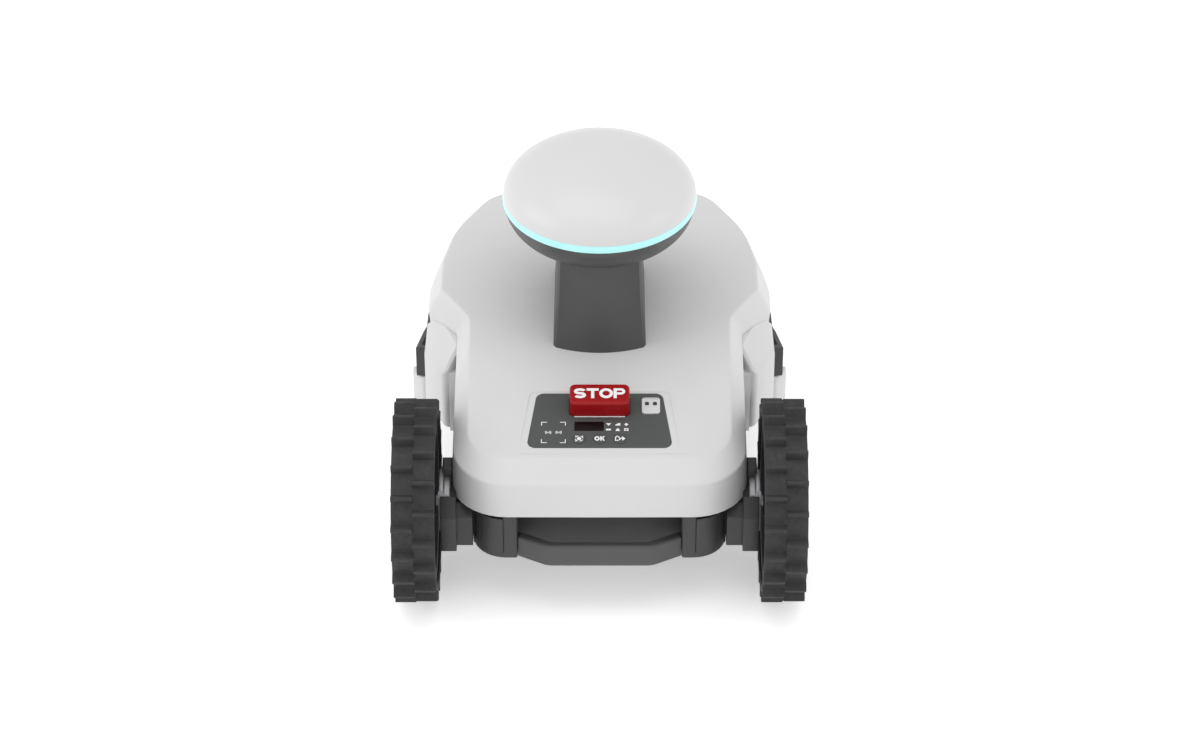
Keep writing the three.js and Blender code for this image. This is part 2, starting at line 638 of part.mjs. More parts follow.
function addBody() {
  robot.add(mesh('top_shell', topShell(), C.shell, 0.5));
  robot.add(mesh('chassis', chassis(), C.dark));
  robot.add(mesh('right_side_cover', sideCover(), C.shell));
  robot.add(mesh('left_side_cover', mirrored(sideCover()), C.shell));
  robot.add(mesh('carry_handle', carryHandle(), C.dark));
  robot.add(mesh('right_corner_post', cornerPost(), C.dark));
  robot.add(mesh('left_corner_post', mirrored(cornerPost()), C.dark));
  robot.add(mesh('cutting_deck', cuttingDeck(), C.dark));
  robot.add(mesh('battery_cover', batteryCover(), C.dark));
  const { x0, x1, y0, y1, z0, z1 } = BATTERY;
  robot.add(mesh('battery_pack', box(x0, x1, y0, y1, z0, z1), C.battery));
  robot.add(mesh('main_circuit_board', box(-50, 50, 310, 370, 117.3, 119.3), C.board));
  ['left', 'right'].forEach((name, i) => {
    const x = (2 * i - 1) * COVER_SCREW_X;
    robot.add(placed(mesh(`${name}_cover_screw`, coverScrew(), C.steel, 0.35, 1), x, COVER_SCREW_Y, 0));
  });
}

function addDrive() {
  for (const [name, side] of [['left', -1], ['right', 1]]) {
    const sided = (geometry) => (side > 0 ? geometry : mirrored(geometry));
    const tyreX = side * (HALF_WIDTH - TYRE_WIDTH / 2);
    robot.add(mesh(`${name}_gear_housing`, sided(gearHousing()), C.dark));
    const motor = mesh(`${name}_drive_motor`, cylinderX(20, 66.5, 126.5, 0, 0, 24), C.steel, 0.35, 1);
    motor.geometry.translate(side > 0 ? 0 : -193, 0, 0);
    robot.add(placed(motor, 0, PINION_Y, PINION_Z));
    robot.add(placed(mesh(`${name}_pinion`, sided(pinion()), C.brass, 0.35, 1), 0, PINION_Y, PINION_Z));
    robot.add(placed(mesh(`${name}_drive_gear`, sided(driveGear()), C.steel, 0.35, 1), 0, 0, TYRE_RADIUS));
    const shaft = sided(cylinderX(6, 143, 204, 0, 0));
    robot.add(placed(mesh(`${name}_axle_shaft`, shaft, C.steel, 0.3, 1), 0, 0, TYRE_RADIUS));
    robot.add(placed(mesh(`${name}_drive_tyre`, driveTyre(), C.tyre, 0.8), tyreX, 0, TYRE_RADIUS));
    const rimGeometry = sided(rim().translate(HALF_WIDTH - TYRE_WIDTH, 0, 0));
    robot.add(placed(mesh(`${name}_rim`, rimGeometry, C.dark), 0, 0, TYRE_RADIUS));
    const cap = sided(cylinderX(17.6, 206.4, 209, 0, 0));
    robot.add(placed(mesh(`${name}_hub_cap`, cap, C.dark), 0, 0, TYRE_RADIUS));
  }
}

function addCasters() {
  for (const [name, side] of [['left', -1], ['right', 1]]) {
    const caster = new THREE.Group();
    caster.position.set(side * CASTER_X, CASTER_STEM_Y, 0);
    caster.add(mesh(`${name}_caster_fork`, casterFork(), C.dark));
    caster.add(placed(mesh(`${name}_caster_wheel`, casterWheel(), C.tyre, 0.8), 0, -CASTER_TRAIL, CASTER_AXLE_Z));
    const pin = mesh(`${name}_caster_pin`, cylinderX(4, -23, 23, 0, 0, 16), C.steel, 0.3, 1);
    caster.add(placed(pin, 0, -CASTER_TRAIL, CASTER_AXLE_Z));
    robot.add(caster);
  }
}

function addCuttingUnit() {
  robot.add(mesh('cutter_carriage', cutterCarriage(), C.dark));
  robot.add(placed(mesh('lead_screw', leadScrew(), C.steel, 0.3, 1), LEAD_SCREW_X, DECK_Y, 0));
  robot.add(mesh('cutting_disc', cuttingDisc(), C.dark));
  robot.add(mesh('skid_plate', skidPlate(), C.dark));
  for (let i = 0; i < 3; i++) {
    const [x, y] = bladeHole(i);
    const knife = placed(mesh(`blade_${i + 1}`, blade(), C.steel, 0.25, 1), x, y, 0);
    knife.rotation.z = (90 + i * 120) * DEG;
    robot.add(knife);
    robot.add(placed(mesh(`blade_screw_${i + 1}`, bladeScrew(), C.steel, 0.3, 1), x, y, 0));
  }
}

function addBumper() {
  robot.add(mesh('front_bumper', frontBumper(), C.dark));
  for (const [name, side] of [['left', -1], ['right', 1]]) {
    const contact = box(side * 24 - 7, side * 24 + 7, 453.1, 454.6, 121.3, 140.7);
    robot.add(mesh(`${name}_charging_contact`, contact, C.brass, 0.3, 1));
  }
}

addBody();
addPanel();
addAntenna();
addDrive();
addCasters();
addCuttingUnit();
addBumper();

export default robot;
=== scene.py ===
import math

import bmesh
import bpy
from mathutils import Matrix, Vector


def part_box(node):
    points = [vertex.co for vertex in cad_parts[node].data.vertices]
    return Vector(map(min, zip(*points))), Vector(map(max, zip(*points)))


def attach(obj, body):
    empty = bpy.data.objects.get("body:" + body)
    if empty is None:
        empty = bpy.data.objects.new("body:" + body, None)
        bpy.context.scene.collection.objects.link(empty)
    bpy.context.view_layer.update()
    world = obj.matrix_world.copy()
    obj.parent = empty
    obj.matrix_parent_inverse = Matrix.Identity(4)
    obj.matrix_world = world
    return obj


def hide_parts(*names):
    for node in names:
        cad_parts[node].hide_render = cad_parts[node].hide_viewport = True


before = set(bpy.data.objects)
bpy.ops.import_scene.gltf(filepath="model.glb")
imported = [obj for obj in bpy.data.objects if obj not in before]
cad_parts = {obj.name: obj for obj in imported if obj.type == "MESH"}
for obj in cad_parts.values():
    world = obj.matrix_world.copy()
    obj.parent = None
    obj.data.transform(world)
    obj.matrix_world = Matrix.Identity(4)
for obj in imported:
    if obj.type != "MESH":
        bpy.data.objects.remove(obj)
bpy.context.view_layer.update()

# Sizes are in millimetres. x is to the robot's right, y is forward from the rear axle, z is up from
# the ground. The frame gives the axle's place in the row, and everything else is measured from it.
MM = 0.001
tyre_low, tyre_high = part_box("left_drive_tyre")
AXLE_Y = (tyre_low[1] + tyre_high[1]) / 2
TYRE_RADIUS = 105
TYRE_INNER_X = 166
TYRE_OUTER_X = 210
MOTOR_Y = 24.5
MOTOR_Z = 84.4
CASTER_X = 112
CASTER_STEM_Y = 372
CASTER_WHEEL_Y = 347
CASTER_AXLE_Z = 42


# ------------------------------------------------------------------ meshes
def to_row(point):
    """A point in millimetres from the rear axle, as metres in the row."""
    return Vector((point[0] * MM, point[1] * MM + AXLE_Y, point[2] * MM))


def make_object(name, points, faces, place=to_row):
    mesh = bpy.data.meshes.new(name)
    mesh.from_pydata([place(p) for p in points], [], faces)
    obj = bpy.data.objects.new(name, mesh)
    bpy.context.scene.collection.objects.link(obj)
    tidy_mesh(obj)
    return obj


def tidy_mesh(obj, merge=1e-6):
    """Joins points that meet and turns all faces outwards."""
    bm = bmesh.new()
    bm.from_mesh(obj.data)
    bmesh.ops.remove_doubles(bm, verts=bm.verts, dist=merge)
    bmesh.ops.recalc_face_normals(bm, faces=bm.faces)
    bm.to_mesh(obj.data)
    bm.free()


def apply_modifiers(obj):
    bpy.context.view_layer.update()
    graph = bpy.context.evaluated_depsgraph_get()
    obj.data = bpy.data.meshes.new_from_object(obj.evaluated_get(graph))
    obj.modifiers.clear()


def smooth(obj, angle=35):
    """Smooth shading, with a crease wherever faces meet at more than the angle."""
    obj.data.shade_smooth()
    obj.data.set_sharp_from_angle(angle=math.radians(angle))
    return obj


def bevel(obj, width, segments=3, angle=35):
    modifier = obj.modifiers.new("edges", "BEVEL")
    modifier.width = width * MM
    modifier.segments = segments
    modifier.limit_method = "ANGLE"
    modifier.angle_limit = math.radians(angle)
    modifier.use_clamp_overlap = True
    apply_modifiers(obj)
    return obj


def combine(obj, other, operation):
    modifier = obj.modifiers.new("combine", "BOOLEAN")
    modifier.operation = operation
    modifier.solver = "EXACT"
    modifier.object = other
    apply_modifiers(obj)
    bpy.data.objects.remove(other)
    tidy_mesh(obj)
    return obj


def cut(obj, *tools):
    for tool in tools:
        combine(obj, tool, "DIFFERENCE")
    return obj


def join(obj, *others):
    for other in others:
        combine(obj, other, "UNION")
    return obj


# ------------------------------------------------------------------ outlines
def corner_arc(before, corner, after, radius, steps):
    """The points of an arc that rounds a corner of a polyline in 2-D."""
    into = (corner - before).normalized()
    out = (after - corner).normalized()
    turn = math.atan2(into.x * out.y - into.y * out.x, into.dot(out))
    first = corner - into * (radius * math.tan(abs(turn) / 2))
    side = Vector((-into.y, into.x)) * math.copysign(radius, turn)
    centre = first + side
    arm = first - centre
    points = []
    for k in range(steps + 1):
        angle = turn * k / steps
        spun = Vector((arm.x * math.cos(angle) - arm.y * math.sin(angle),
                       arm.x * math.sin(angle) + arm.y * math.cos(angle)))
        points.append(centre + spun)
    return points


def moved_knots(knots, distance, closed):
    """The corners of an anticlockwise outline moved inwards by a distance."""
    last = len(knots) - 1
    moved = []
    for i, knot in enumerate(knots):
        behind = knot - knots[i - 1]
        ahead = knots[(i + 1) % len(knots)] - knot
        if not closed and i == 0:
            behind = ahead
        if not closed and i == last:
            ahead = behind
        first = Vector((-behind.y, behind.x)).normalized()
        second = Vector((-ahead.y, ahead.x)).normalized()
        moved.append(knot + (first + second) * (distance / (1 + first.dot(second))))
    if not closed:
        moved[0].x = 0
        moved[-1].x = 0
    return moved


def moved_radius(before, corner, after, radius, distance):
    """A corner's radius once its outline has moved inwards."""
    into, out = corner - before, after - corner
    convex = into.x * out.y - into.y * out.x > 0
    return max(0.05, radius - distance) if convex else radius + distance


def half_outline(rear_y, corners, front_y, shrink=0.0, steps=10, between=8):
    """The right half of a symmetric plan outline. Each corner is (x, y, radius)."""
    knots = [(0, rear_y)] + [c[:2] for c in corners] + [(0, front_y)]
    knots = moved_knots([Vector(k) for k in knots], shrink, False)
    path = [knots[0]]
    for i, corner in enumerate(corners, start=1):
        radius = moved_radius(knots[i - 1], knots[i], knots[i + 1], corner[2], shrink)
        arc = corner_arc(knots[i - 1], knots[i], knots[i + 1], radius, steps)
        if i > 1:
            last = path[-1].copy()
            path += [last.lerp(arc[0], k / (between + 1)) for k in range(1, between + 1)]
        path += arc
    path.append(knots[-1])
    return path


def closed_outline(corners, steps=5, shrink=0.0):
    """A closed anticlockwise outline. Each corner is (x, y, radius); a radius of 0 stays one point."""
    knots = moved_knots([Vector(c[:2]) for c in corners], shrink, True)
    path = []
    for i, corner in enumerate(corners):
        before, after = knots[i - 1], knots[(i + 1) % len(knots)]
        if corner[2] == 0:
            path.append(knots[i])
            continue
        radius = moved_radius(before, knots[i], after, corner[2], shrink)
        path += corner_arc(before, knots[i], after, radius, steps)
    return path


def sharp(points):
    """Points as outline corners with no rounding."""
    return [(p[0], p[1], 0) for p in points]


def height_along(knots):
    """Straight lines between (y, z) knots, continued past the ends."""
    def height(y):
        i = 0
        while i < len(knots) - 2 and y > knots[i + 1][0]:
            i += 1
        (y0, z0), (y1, z1) = knots[i], knots[i + 1]
        return z0 + (z1 - z0) * (y - y0) / (y1 - y0)
    return height


# ------------------------------------------------------------------ lofts
def fillet_levels(levels, radii, steps=4):
    """Rounds the folds of a stack of loops: each inner level turns into a few loops on a curve."""
    out = [levels[0]]
    for i in range(1, len(levels) - 1):
        radius = radii.get(i, 0)
        if radius == 0:
            out.append(levels[i])
            continue
        rounds = [[] for _ in range(steps + 1)]
        for before, here, after in zip(levels[i - 1], levels[i], levels[i + 1]):
            back = (before - here).normalized() * min(radius, (before - here).length * 0.48)
            on = (after - here).normalized() * min(radius, (after - here).length * 0.48)
            for k in range(steps + 1):
                t = k / steps
                rounds[k].append(here + back * (1 - t) ** 2 + on * t ** 2)
        out += rounds
    out.append(levels[-1])
    return out


def bridge(faces, first, second, count):
    for j in range(count):
        nxt = (j + 1) % count
        faces.append((first + j, first + nxt, second + nxt, second + j))


def loft(name, levels, place=to_row):
    """A closed body through loops with equal numbers of points, flat at both ends."""
    count = len(levels[0])
    points = [p for level in levels for p in level]
    faces = []
    for i in range(len(levels) - 1):
        bridge(faces, i * count, (i + 1) * count, count)
    faces.append(tuple(range(count)))
    faces.append(tuple((len(levels) - 1) * count + j for j in range(count)))
    return make_object(name, points, faces, place)


def slab(name, corners, z0, z1, edge=1.0, place=to_row, steps=3, arc=5):
    """An outline of (x, y, corner radius) points, extruded along z with rounded rims."""
    def ring(turn, z, way):
        drop = edge * (1 - math.cos(turn))
        inwards = edge * (1 - math.sin(turn))
        return [Vector((p.x, p.y, z + way * drop)) for p in closed_outline(corners, arc, inwards)]
    turns = [math.pi / 2 * k / steps for k in range(steps + 1)]
    levels = [ring(turn, z0, 1) for turn in turns]
    levels += [ring(turn, z1, -1) for turn in reversed(turns)]
    return loft(name, levels, place)


def slab_x(name, corners, x0, x1, edge=1.0, steps=3):
    """An outline given in (y, z), extruded along x with rounded rims."""
    def place(p):
        return to_row((p[2], p[0], p[1]))
    return slab(name, corners, x0, x1, edge, place, steps)


def lathe(name, profile, segments=96, place=to_row, centre=(0, 0)):
    """A body turned about z. The profile is (radius, z) points; a radius of 0 is on the axis."""
    rings = []
    points = []
    for radius, z in profile:
        if radius == 0:
            rings.append([len(points)] * segments)
            points.append((centre[0], centre[1], z))
            continue
        rings.append([len(points) + j for j in range(segments)])
        for j in range(segments):
            angle = 2 * math.pi * j / segments
            points.append((centre[0] + radius * math.cos(angle), centre[1] + radius * math.sin(angle), z))
    if profile[0][0] > 0:
        rings.append(rings[0])
    faces = []
    for lower, upper in zip(rings, rings[1:]):
        for j in range(segments):
            nxt = (j + 1) % segments
            corners = [lower[j], lower[nxt], upper[nxt], upper[j]]
            face = tuple(dict.fromkeys(corners))
            if len(face) > 2:
                faces.append(face)
    return make_object(name, points, faces, place)


def lathe_x(name, profile, y, z, segments=96):
    """A body turned about an axis along x. The profile is (radius, x) points."""
    def place(p):
        return to_row((p[2], p[0] + y, p[1] + z))
    return lathe(name, profile, segments, place)


def rounded_profile(points, radius, steps=3):
    """A turning profile with its corners rounded; corners on the axis stay."""
    knots = [Vector(p) for p in points]
    out = []
    for i, knot in enumerate(knots):
        if knot.x == 0:
            out.append(knot)
            continue
        before, after = knots[i - 1], knots[(i + 1) % len(knots)]
        reach = min(radius, (before - knot).length * 0.45, (after - knot).length * 0.45)
        back = (before - knot).normalized() * reach
        on = (after - knot).normalized() * reach
        out += [knot + back * (1 - k / steps) ** 2 + on * (k / steps) ** 2 for k in range(steps + 1)]
    return [(p.x, p.y) for p in out]


def block(name, x0, x1, y0, y1, z0, z1, place=to_row):
    """A sharp-edged box, used as part of a larger body or to cut one."""
    outline = [Vector((x0, y0)), Vector((x1, y0)), Vector((x1, y1)), Vector((x0, y1))]
    levels = [[Vector((p.x, p.y, z)) for p in outline] for z in (z0, z1)]
    return loft(name, levels, place)


def rectangle(x0, x1, y0, y1, radius):
    return [(x0, y0, radius), (x1, y0, radius), (x1, y1, radius), (x0, y1, radius)]


def mirror_piece(obj, name):
    """A copy reflected to the left side."""
    copy = obj.copy()
    copy.data = obj.data.copy()
    copy.name = name
    bpy.context.scene.collection.objects.link(copy)
    copy.data.transform(Matrix.Diagonal((-1, 1, 1, 1)))
    copy.data.flip_normals()
    return copy


def finish_piece(obj, body, slot, material, *nodes):
    """Gives a piece its material and its moving body, and hides the CAD nodes it stands in for."""
    obj.data.materials.clear()
    obj.data.materials.append(material)
    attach(obj, body)
    if nodes:
        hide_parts(*nodes)
    return obj


# ------------------------------------------------------------------ materials
def node_tree(name):
    material = bpy.data.materials.new(name)
    material.use_nodes = True
    shader = material.node_tree.nodes["Principled BSDF"]
    return material, material.node_tree, shader


def noise(tree, scale, detail=3.0, distortion=0.0, stretch=None):
    """A noise over the piece's own coordinates. scale is in features per metre."""
    place = tree.nodes.new("ShaderNodeTexCoord")
    texture = tree.nodes.new("ShaderNodeTexNoise")
    texture.inputs["Scale"].default_value = scale
    texture.inputs["Detail"].default_value = detail
    texture.inputs["Distortion"].default_value = distortion
    source = place.outputs["Object"]
    if stretch:
        mapping = tree.nodes.new("ShaderNodeMapping")
        mapping.inputs["Scale"].default_value = stretch
        tree.links.new(source, mapping.inputs["Vector"])
        source = mapping.outputs["Vector"]
    tree.links.new(source, texture.inputs["Vector"])
    return texture.outputs["Fac"]


def spread(tree, source, low, high):
    """Maps a 0.3 to 0.7 field to a range of values."""
    node = tree.nodes.new("ShaderNodeMapRange")
    node.inputs["From Min"].default_value = 0.3
    node.inputs["From Max"].default_value = 0.7
    node.inputs["To Min"].default_value = low
    node.inputs["To Max"].default_value = high
    tree.links.new(source, node.inputs["Value"])
    return node.outputs["Result"]


def blend_colours(tree, source, first, second):
    mix = tree.nodes.new("ShaderNodeMix")
    mix.data_type = "RGBA"
    mix.inputs["A"].default_value = (*first, 1)
    mix.inputs["B"].default_value = (*second, 1)
    tree.links.new(source, mix.inputs["Factor"])
    return mix.outputs["Result"]


def add_bump(tree, shader, source, strength, depth_mm):
    bump = tree.nodes.new("ShaderNodeBump")
    bump.inputs["Strength"].default_value = strength
    bump.inputs["Distance"].default_value = depth_mm * MM
    tree.links.new(source, bump.inputs["Height"])
    tree.links.new(bump.outputs["Normal"], shader.inputs["Normal"])


def plastic(name, colour, mottle, roughness, grain, bump, specular=0.5):
    """Moulded plastic: slight colour drift, uneven gloss and a fine spark-eroded grain."""
    material, tree, shader = node_tree(name)
    darker = [c * (1 - mottle) for c in colour]
    lighter = [c * (1 + mottle) for c in colour]
    drift = spread(tree, noise(tree, 14, 4), 0, 1)
    tree.links.new(blend_colours(tree, drift, darker, lighter), shader.inputs["Base Color"])
    gloss = spread(tree, noise(tree, 60, 5), roughness - 0.04, roughness + 0.05)
    tree.links.new(gloss, shader.inputs["Roughness"])
    shader.inputs["Specular IOR Level"].default_value = specular
    add_bump(tree, shader, noise(tree, grain, 2), bump, 0.05)
    return material


def metal(name, colour, roughness, stretch):
    """Turned or brushed metal with fine marks along one direction."""
    material, tree, shader = node_tree(name)
    shader.inputs["Metallic"].default_value = 1.0
    marks = noise(tree, 400, 4, 0, stretch)
    tone = spread(tree, marks, 0, 1)
    darker = [c * 0.8 for c in colour]
    tree.links.new(blend_colours(tree, tone, darker, colour), shader.inputs["Base Color"])
    tree.links.new(spread(tree, marks, roughness, roughness + 0.15), shader.inputs["Roughness"])
    add_bump(tree, shader, marks, 0.15, 0.02)
    return material


def rubber(name, colour, dust):
    """Tyre rubber: matt, with pale dust caught in a coarse mottling."""
    material, tree, shader = node_tree(name)
    patches = spread(tree, noise(tree, 90, 6, 0.4), 0, 1)
    tree.links.new(blend_colours(tree, patches, colour, dust), shader.inputs["Base Color"])
    tree.links.new(spread(tree, noise(tree, 200, 4), 0.55, 0.75), shader.inputs["Roughness"])
    add_bump(tree, shader, noise(tree, 900, 3), 0.35, 0.12)
    return material


def glowing(name, colour, light, strength):
    """A lit diffuser ring with a faint unevenness from the lamps behind it."""
    material, tree, shader = node_tree(name)
    lamps = spread(tree, noise(tree, 35, 2), 0, 1)
    shade = blend_colours(tree, lamps, [c * 0.9 for c in colour], colour)
    glow = blend_colours(tree, lamps, [c * 0.94 for c in light], light)
    tree.links.new(shade, shader.inputs["Base Color"])
    tree.links.new(glow, shader.inputs["Emission Color"])
    shader.inputs["Emission Strength"].default_value = strength
    shader.inputs["Roughness"].default_value = 0.35
    return material


def window_glass(name):
    """A near-black display window over a faint grid of unlit segments."""
    material, tree, shader = node_tree(name)
    grid = spread(tree, noise(tree, 300, 1), 0, 1)
    tree.links.new(blend_colours(tree, grid, (0.006, 0.003, 0.003), (0.012, 0.006, 0.006)),
                   shader.inputs["Base Color"])
    shader.inputs["Roughness"].default_value = 0.25
    shader.inputs["Specular IOR Level"].default_value = 0.1
    return material


def circuit_board(name):
    """Green solder mask with darker tracks."""
    material, tree, shader = node_tree(name)
    place = tree.nodes.new("ShaderNodeTexCoord")
    bricks = tree.nodes.new("ShaderNodeTexBrick")
    bricks.inputs["Color1"].default_value = (0.015, 0.09, 0.04, 1)
    bricks.inputs["Color2"].default_value = (0.02, 0.12, 0.05, 1)
    bricks.inputs["Mortar"].default_value = (0.008, 0.04, 0.02, 1)
    bricks.inputs["Scale"].default_value = 60
    tree.links.new(place.outputs["Object"], bricks.inputs["Vector"])
    tree.links.new(bricks.outputs["Color"], shader.inputs["Base Color"])
    shader.inputs["Roughness"].default_value = 0.4
    return material


WHITE = plastic("white casing", (0.615, 0.615, 0.615), 0.012, 0.42, 2200, 0.10, 0.4)
DOME_WHITE = plastic("white dome", (0.61, 0.61, 0.61), 0.010, 0.32, 2500, 0.06, 0.4)
DARK = plastic("dark grey plastic", (0.062, 0.062, 0.064), 0.05, 0.42, 1600, 0.25)
PANEL = plastic("panel film", (0.066, 0.069, 0.068), 0.03, 0.55, 1800, 0.20, 0.4)
RED = plastic("red button", (0.30, 0.004, 0.006), 0.03, 0.36, 2200, 0.12, 0.25)
CASING_DARK = plastic("dark casing plastic", (0.046, 0.046, 0.047), 0.05, 0.45, 1600, 0.25, 0.4)
# The bearing bosses' light grey metal is a painted highlight: it stands in for the bright reflection of the
# studio lights on them, so they read much lighter than the dark case.
BOSS_PAINTED_HIGHLIGHT = metal("bearing boss painted highlight", (0.42, 0.42, 0.43), 0.45, (1, 1, 4))
PRINT = plastic("white print", (0.80, 0.80, 0.80), 0.02, 0.5, 2500, 0.10, 0.3)
CONTACT = plastic("dark contact", (0.03, 0.03, 0.031), 0.05, 0.35, 2000, 0.15)
BATTERY = plastic("battery wrap", (0.02, 0.025, 0.035), 0.08, 0.5, 1200, 0.2)
TYRE = rubber("tyre rubber", (0.021, 0.021, 0.022), (0.027, 0.027, 0.028))
GLOW = glowing("light ring", (0.10, 0.30, 0.30), (0.40, 0.66, 0.66), 1.0)
STEEL = metal("brushed steel", (0.52, 0.53, 0.55), 0.28, (1, 1, 12))
BLADE_STEEL = metal("blade steel", (0.62, 0.63, 0.65), 0.22, (1, 8, 1))
BRASS = metal("plated brass", (0.62, 0.45, 0.20), 0.25, (1, 1, 10))
DISPLAY = window_glass("display window")
BOARD = circuit_board("circuit board")

# ------------------------------------------------------------------ shell
CREASE_X = 77
CREASE_WIDTH = 28
CREASE_DROP = 0.035
SKIRT_Z = 118
SHELL_WALL = 3
PANEL_Y = 34.2
top_height = height_along([(-15, 172), (128, 200), (230, 212), (300, 215), (406, 214)])
contour_height = height_along([(-43, 158), (215, 180), (424, 186)])


def skirt(shrink):
    return half_outline(-45.5, [(152, -45, 58), (152, 192, 12), (175, 218, 14), (174, 264, 60),
                                (168, 316, 150), (120, 437, 64)], 438, shrink)


def contour(shrink):
    return half_outline(-43.5, [(150, -43, 56), (151, 192, 12), (183, 232, 14), (183, 264, 60),
                                (174, 316, 150), (120, 427, 60)], 428, shrink)


def plateau(shrink):
    return half_outline(-15.5, [(134, -15, 38), (137.5, 183, 26), (168.5, 228, 10), (168, 275, 40),
                                (156, 337, 150), (115, 412, 46)], 412.5, shrink)


def crowned(x, y):
    """The shell's top: it falls away slightly outside its two long creases."""
    outside = min(max(0, abs(x) - CREASE_X), CREASE_WIDTH)
    return top_height(y) - outside * CREASE_DROP


def full_loop(half, height):
    """Both halves of an outline as one loop of points."""
    right = [Vector((p.x, p.y, height(p.x, p.y))) for p in half]
    left = [Vector((-p.x, p.y, height(p.x, p.y))) for p in half[-2:0:-1]]
    return right + left


def ladder_cap(points, faces, half, start, height):
    """Fills a loop with rows of quads across the body, so that its top can be crowned and creased."""
    count = len(half)
    around = 2 * (count - 1)
    stations = (105, CREASE_X + 1, CREASE_X - 1, 50, 25, 0)
    reference = 137
    rows = []
    for k in range(1, count - 1):
        shrink = min(1, half[k].x / reference)
        xs = [s * shrink for s in stations]
        xs = xs + [-x for x in xs[-2::-1]]
        row = [start + k]
        for x in xs:
            row.append(len(points))
            points.append(Vector((x, half[k].y, height(x, half[k].y))))
        row.append(start + (around - k))
        rows.append(row)
    for lower, upper in zip(rows, rows[1:]):
        for a, b, c, d in zip(lower, lower[1:], upper[1:], upper):
            faces.append((a, b, c, d))
    for end, row in ((start, rows[0]), (start + count - 1, rows[-1])):
        faces += [(end, a, b) for a, b in zip(row, row[1:])]


def panel_matrix():
    slope = math.atan((top_height(70) - top_height(-2)) / 72)
    lift = Matrix.Translation(Vector((0, PANEL_Y, top_height(PANEL_Y))))
    return lift @ Matrix.Rotation(slope, 4, "X")


PANEL_FRAME = panel_matrix()


def on_panel(point):
    """From the keypad's own frame, with z out of the shell, to the row."""
    return to_row(PANEL_FRAME @ Vector(point))


PANEL_REAR_HALF = 74.6
PANEL_FRONT_HALF = 64.5
PANEL_REAR_Y = -36.8
PANEL_FRONT_Y = 37.9


def panel_corners(side=0.0, rear=0.0, front=0.0, radius=8.0):
    """The keypad's trapezium, grown by a margin at each edge."""
    y0, y1 = PANEL_REAR_Y - rear, PANEL_FRONT_Y + front
    x0, x1 = PANEL_REAR_HALF + side, PANEL_FRONT_HALF + side
    return [(-x0, y0, radius), (x0, y0, radius), (x1, y1, radius), (-x1, y1, radius)]


def flat_contour(x, y):
    """The contour's height does not change across the body."""
    return contour_height(y)


def shell_block(outset):
    """The shell's outer form as a solid, grown all round, to trim the pieces that meet it."""
    levels = [full_loop(skirt(-outset), lambda x, y: SKIRT_Z - outset),
              full_loop(contour(-outset), flat_contour),
              full_loop(plateau(-outset), crowned)]
    return loft("shell_trimmer", levels)


def build_shell():
    edge = 5
    levels = [
        full_loop(plateau(SHELL_WALL), lambda x, y: crowned(x, y) - 3.2),
        full_loop(contour(SHELL_WALL), lambda x, y: contour_height(y) - 1.5),
        full_loop(skirt(SHELL_WALL), lambda x, y: SKIRT_Z),
        full_loop(skirt(0), lambda x, y: SKIRT_Z),
        full_loop(contour(0), flat_contour),
        full_loop(plateau(0), crowned),
        full_loop(plateau(edge), crowned),
    ]
    levels = fillet_levels(levels, {2: 1, 3: 1, 4: 2.2, 5: 2.2}, 4)
    points = [p for level in levels for p in level]
    count = len(levels[0])
    faces = []
    for i in range(len(levels) - 1):
        bridge(faces, i * count, (i + 1) * count, count)
    ladder_cap(points, faces, plateau(SHELL_WALL), 0, lambda x, y: crowned(x, y) - 3.2)
    ladder_cap(points, faces, plateau(edge), (len(levels) - 1) * count, crowned)
    shell = make_object("top_shell_moulding", points, faces)
    border = slab("border_cutter", panel_corners(7.5, 2.6, 2.0, 6), -0.55, 6, 0.1, on_panel, 1, 8)
    recess = slab("recess_cutter", panel_corners(0.3, 0.3, 0.3, 8.3), -1.6, 6, 0.1, on_panel, 1, 8)
    bay = slab("bay_cutter", panel_corners(-1, -1, -1, 7), -20, 2, 0.5, on_panel)
    cable = block("cable_cutter", -20, 20, 173, 233, 180, 240)
    cut(shell, border, recess, bay, cable)
    smooth(shell, 24)
    return finish_piece(shell, "body", "shell_white", WHITE, "top_shell")


# ------------------------------------------------------------------ side covers
RIDGE_REAR = Vector((162, 153))
RIDGE_FRONT = Vector((186, 197))
POD_TOP_PITCH = 0.085


def build_side_cover():
    """The pod ahead of a drive wheel: a chamfered ridge behind, a slope up to the shell, a small lobe."""
    corners = [(148, 228, 0), (148, 176, 2), (157, 165, 4), (162, 152.5, 6), (187, 197, 9), (184, 228, 0)]
    along = (RIDGE_FRONT - RIDGE_REAR).normalized()
    ahead = Vector((-along.y, along.x))

    def top(p):
        return 151 + max(0, (p - RIDGE_REAR).dot(ahead)) * 1.05

    def pitched(p):
        return to_row((p[0], p[1], p[2] + (p[1] - 150) * POD_TOP_PITCH))

    def foot(p):
        return 70 + 0.45 * (p.x - 148)

    def ring(shrink, height, shift):
        outline = closed_outline(corners, 6, shrink)
        return [Vector((p.x, p.y, height(p) + shift)) for p in outline]
    levels = [ring(2, foot, 0), ring(0, foot, 2), ring(0, top, -3.6), ring(3.2, top, 0)]
    pod = loft("right_side_pod", fillet_levels(levels, {1: 0.8, 2: 1.0}, 3))
    lobe_plan = [(178, 203, 2), (190, 204, 6), (201, 218, 8), (201, 228, 1), (178, 228, 1)]
    lobe = slab("lobe", lobe_plan, 70, 111, 4, steps=5)
    filler_plan = [(149, 161, 0.5), (160, 161, 0.5), (160, 190, 0), (149, 190, 0)]
    filler = slab("groove_floor", filler_plan, 72, 148, 1)
    join(pod, lobe, filler)
    cut(pod, shell_block(0.15), block("pod_top_trim", 130, 220, 130, 240, 171.5, 260, pitched),
        block("pocket", 140, 178, 196, 224, 92, 113))
    smooth(pod, 30)
    left = mirror_piece(pod, "left_side_pod")
    finish_piece(pod, "body", "shell_white", WHITE, "right_side_cover")
    finish_piece(left, "body", "shell_white", WHITE, "left_side_cover")


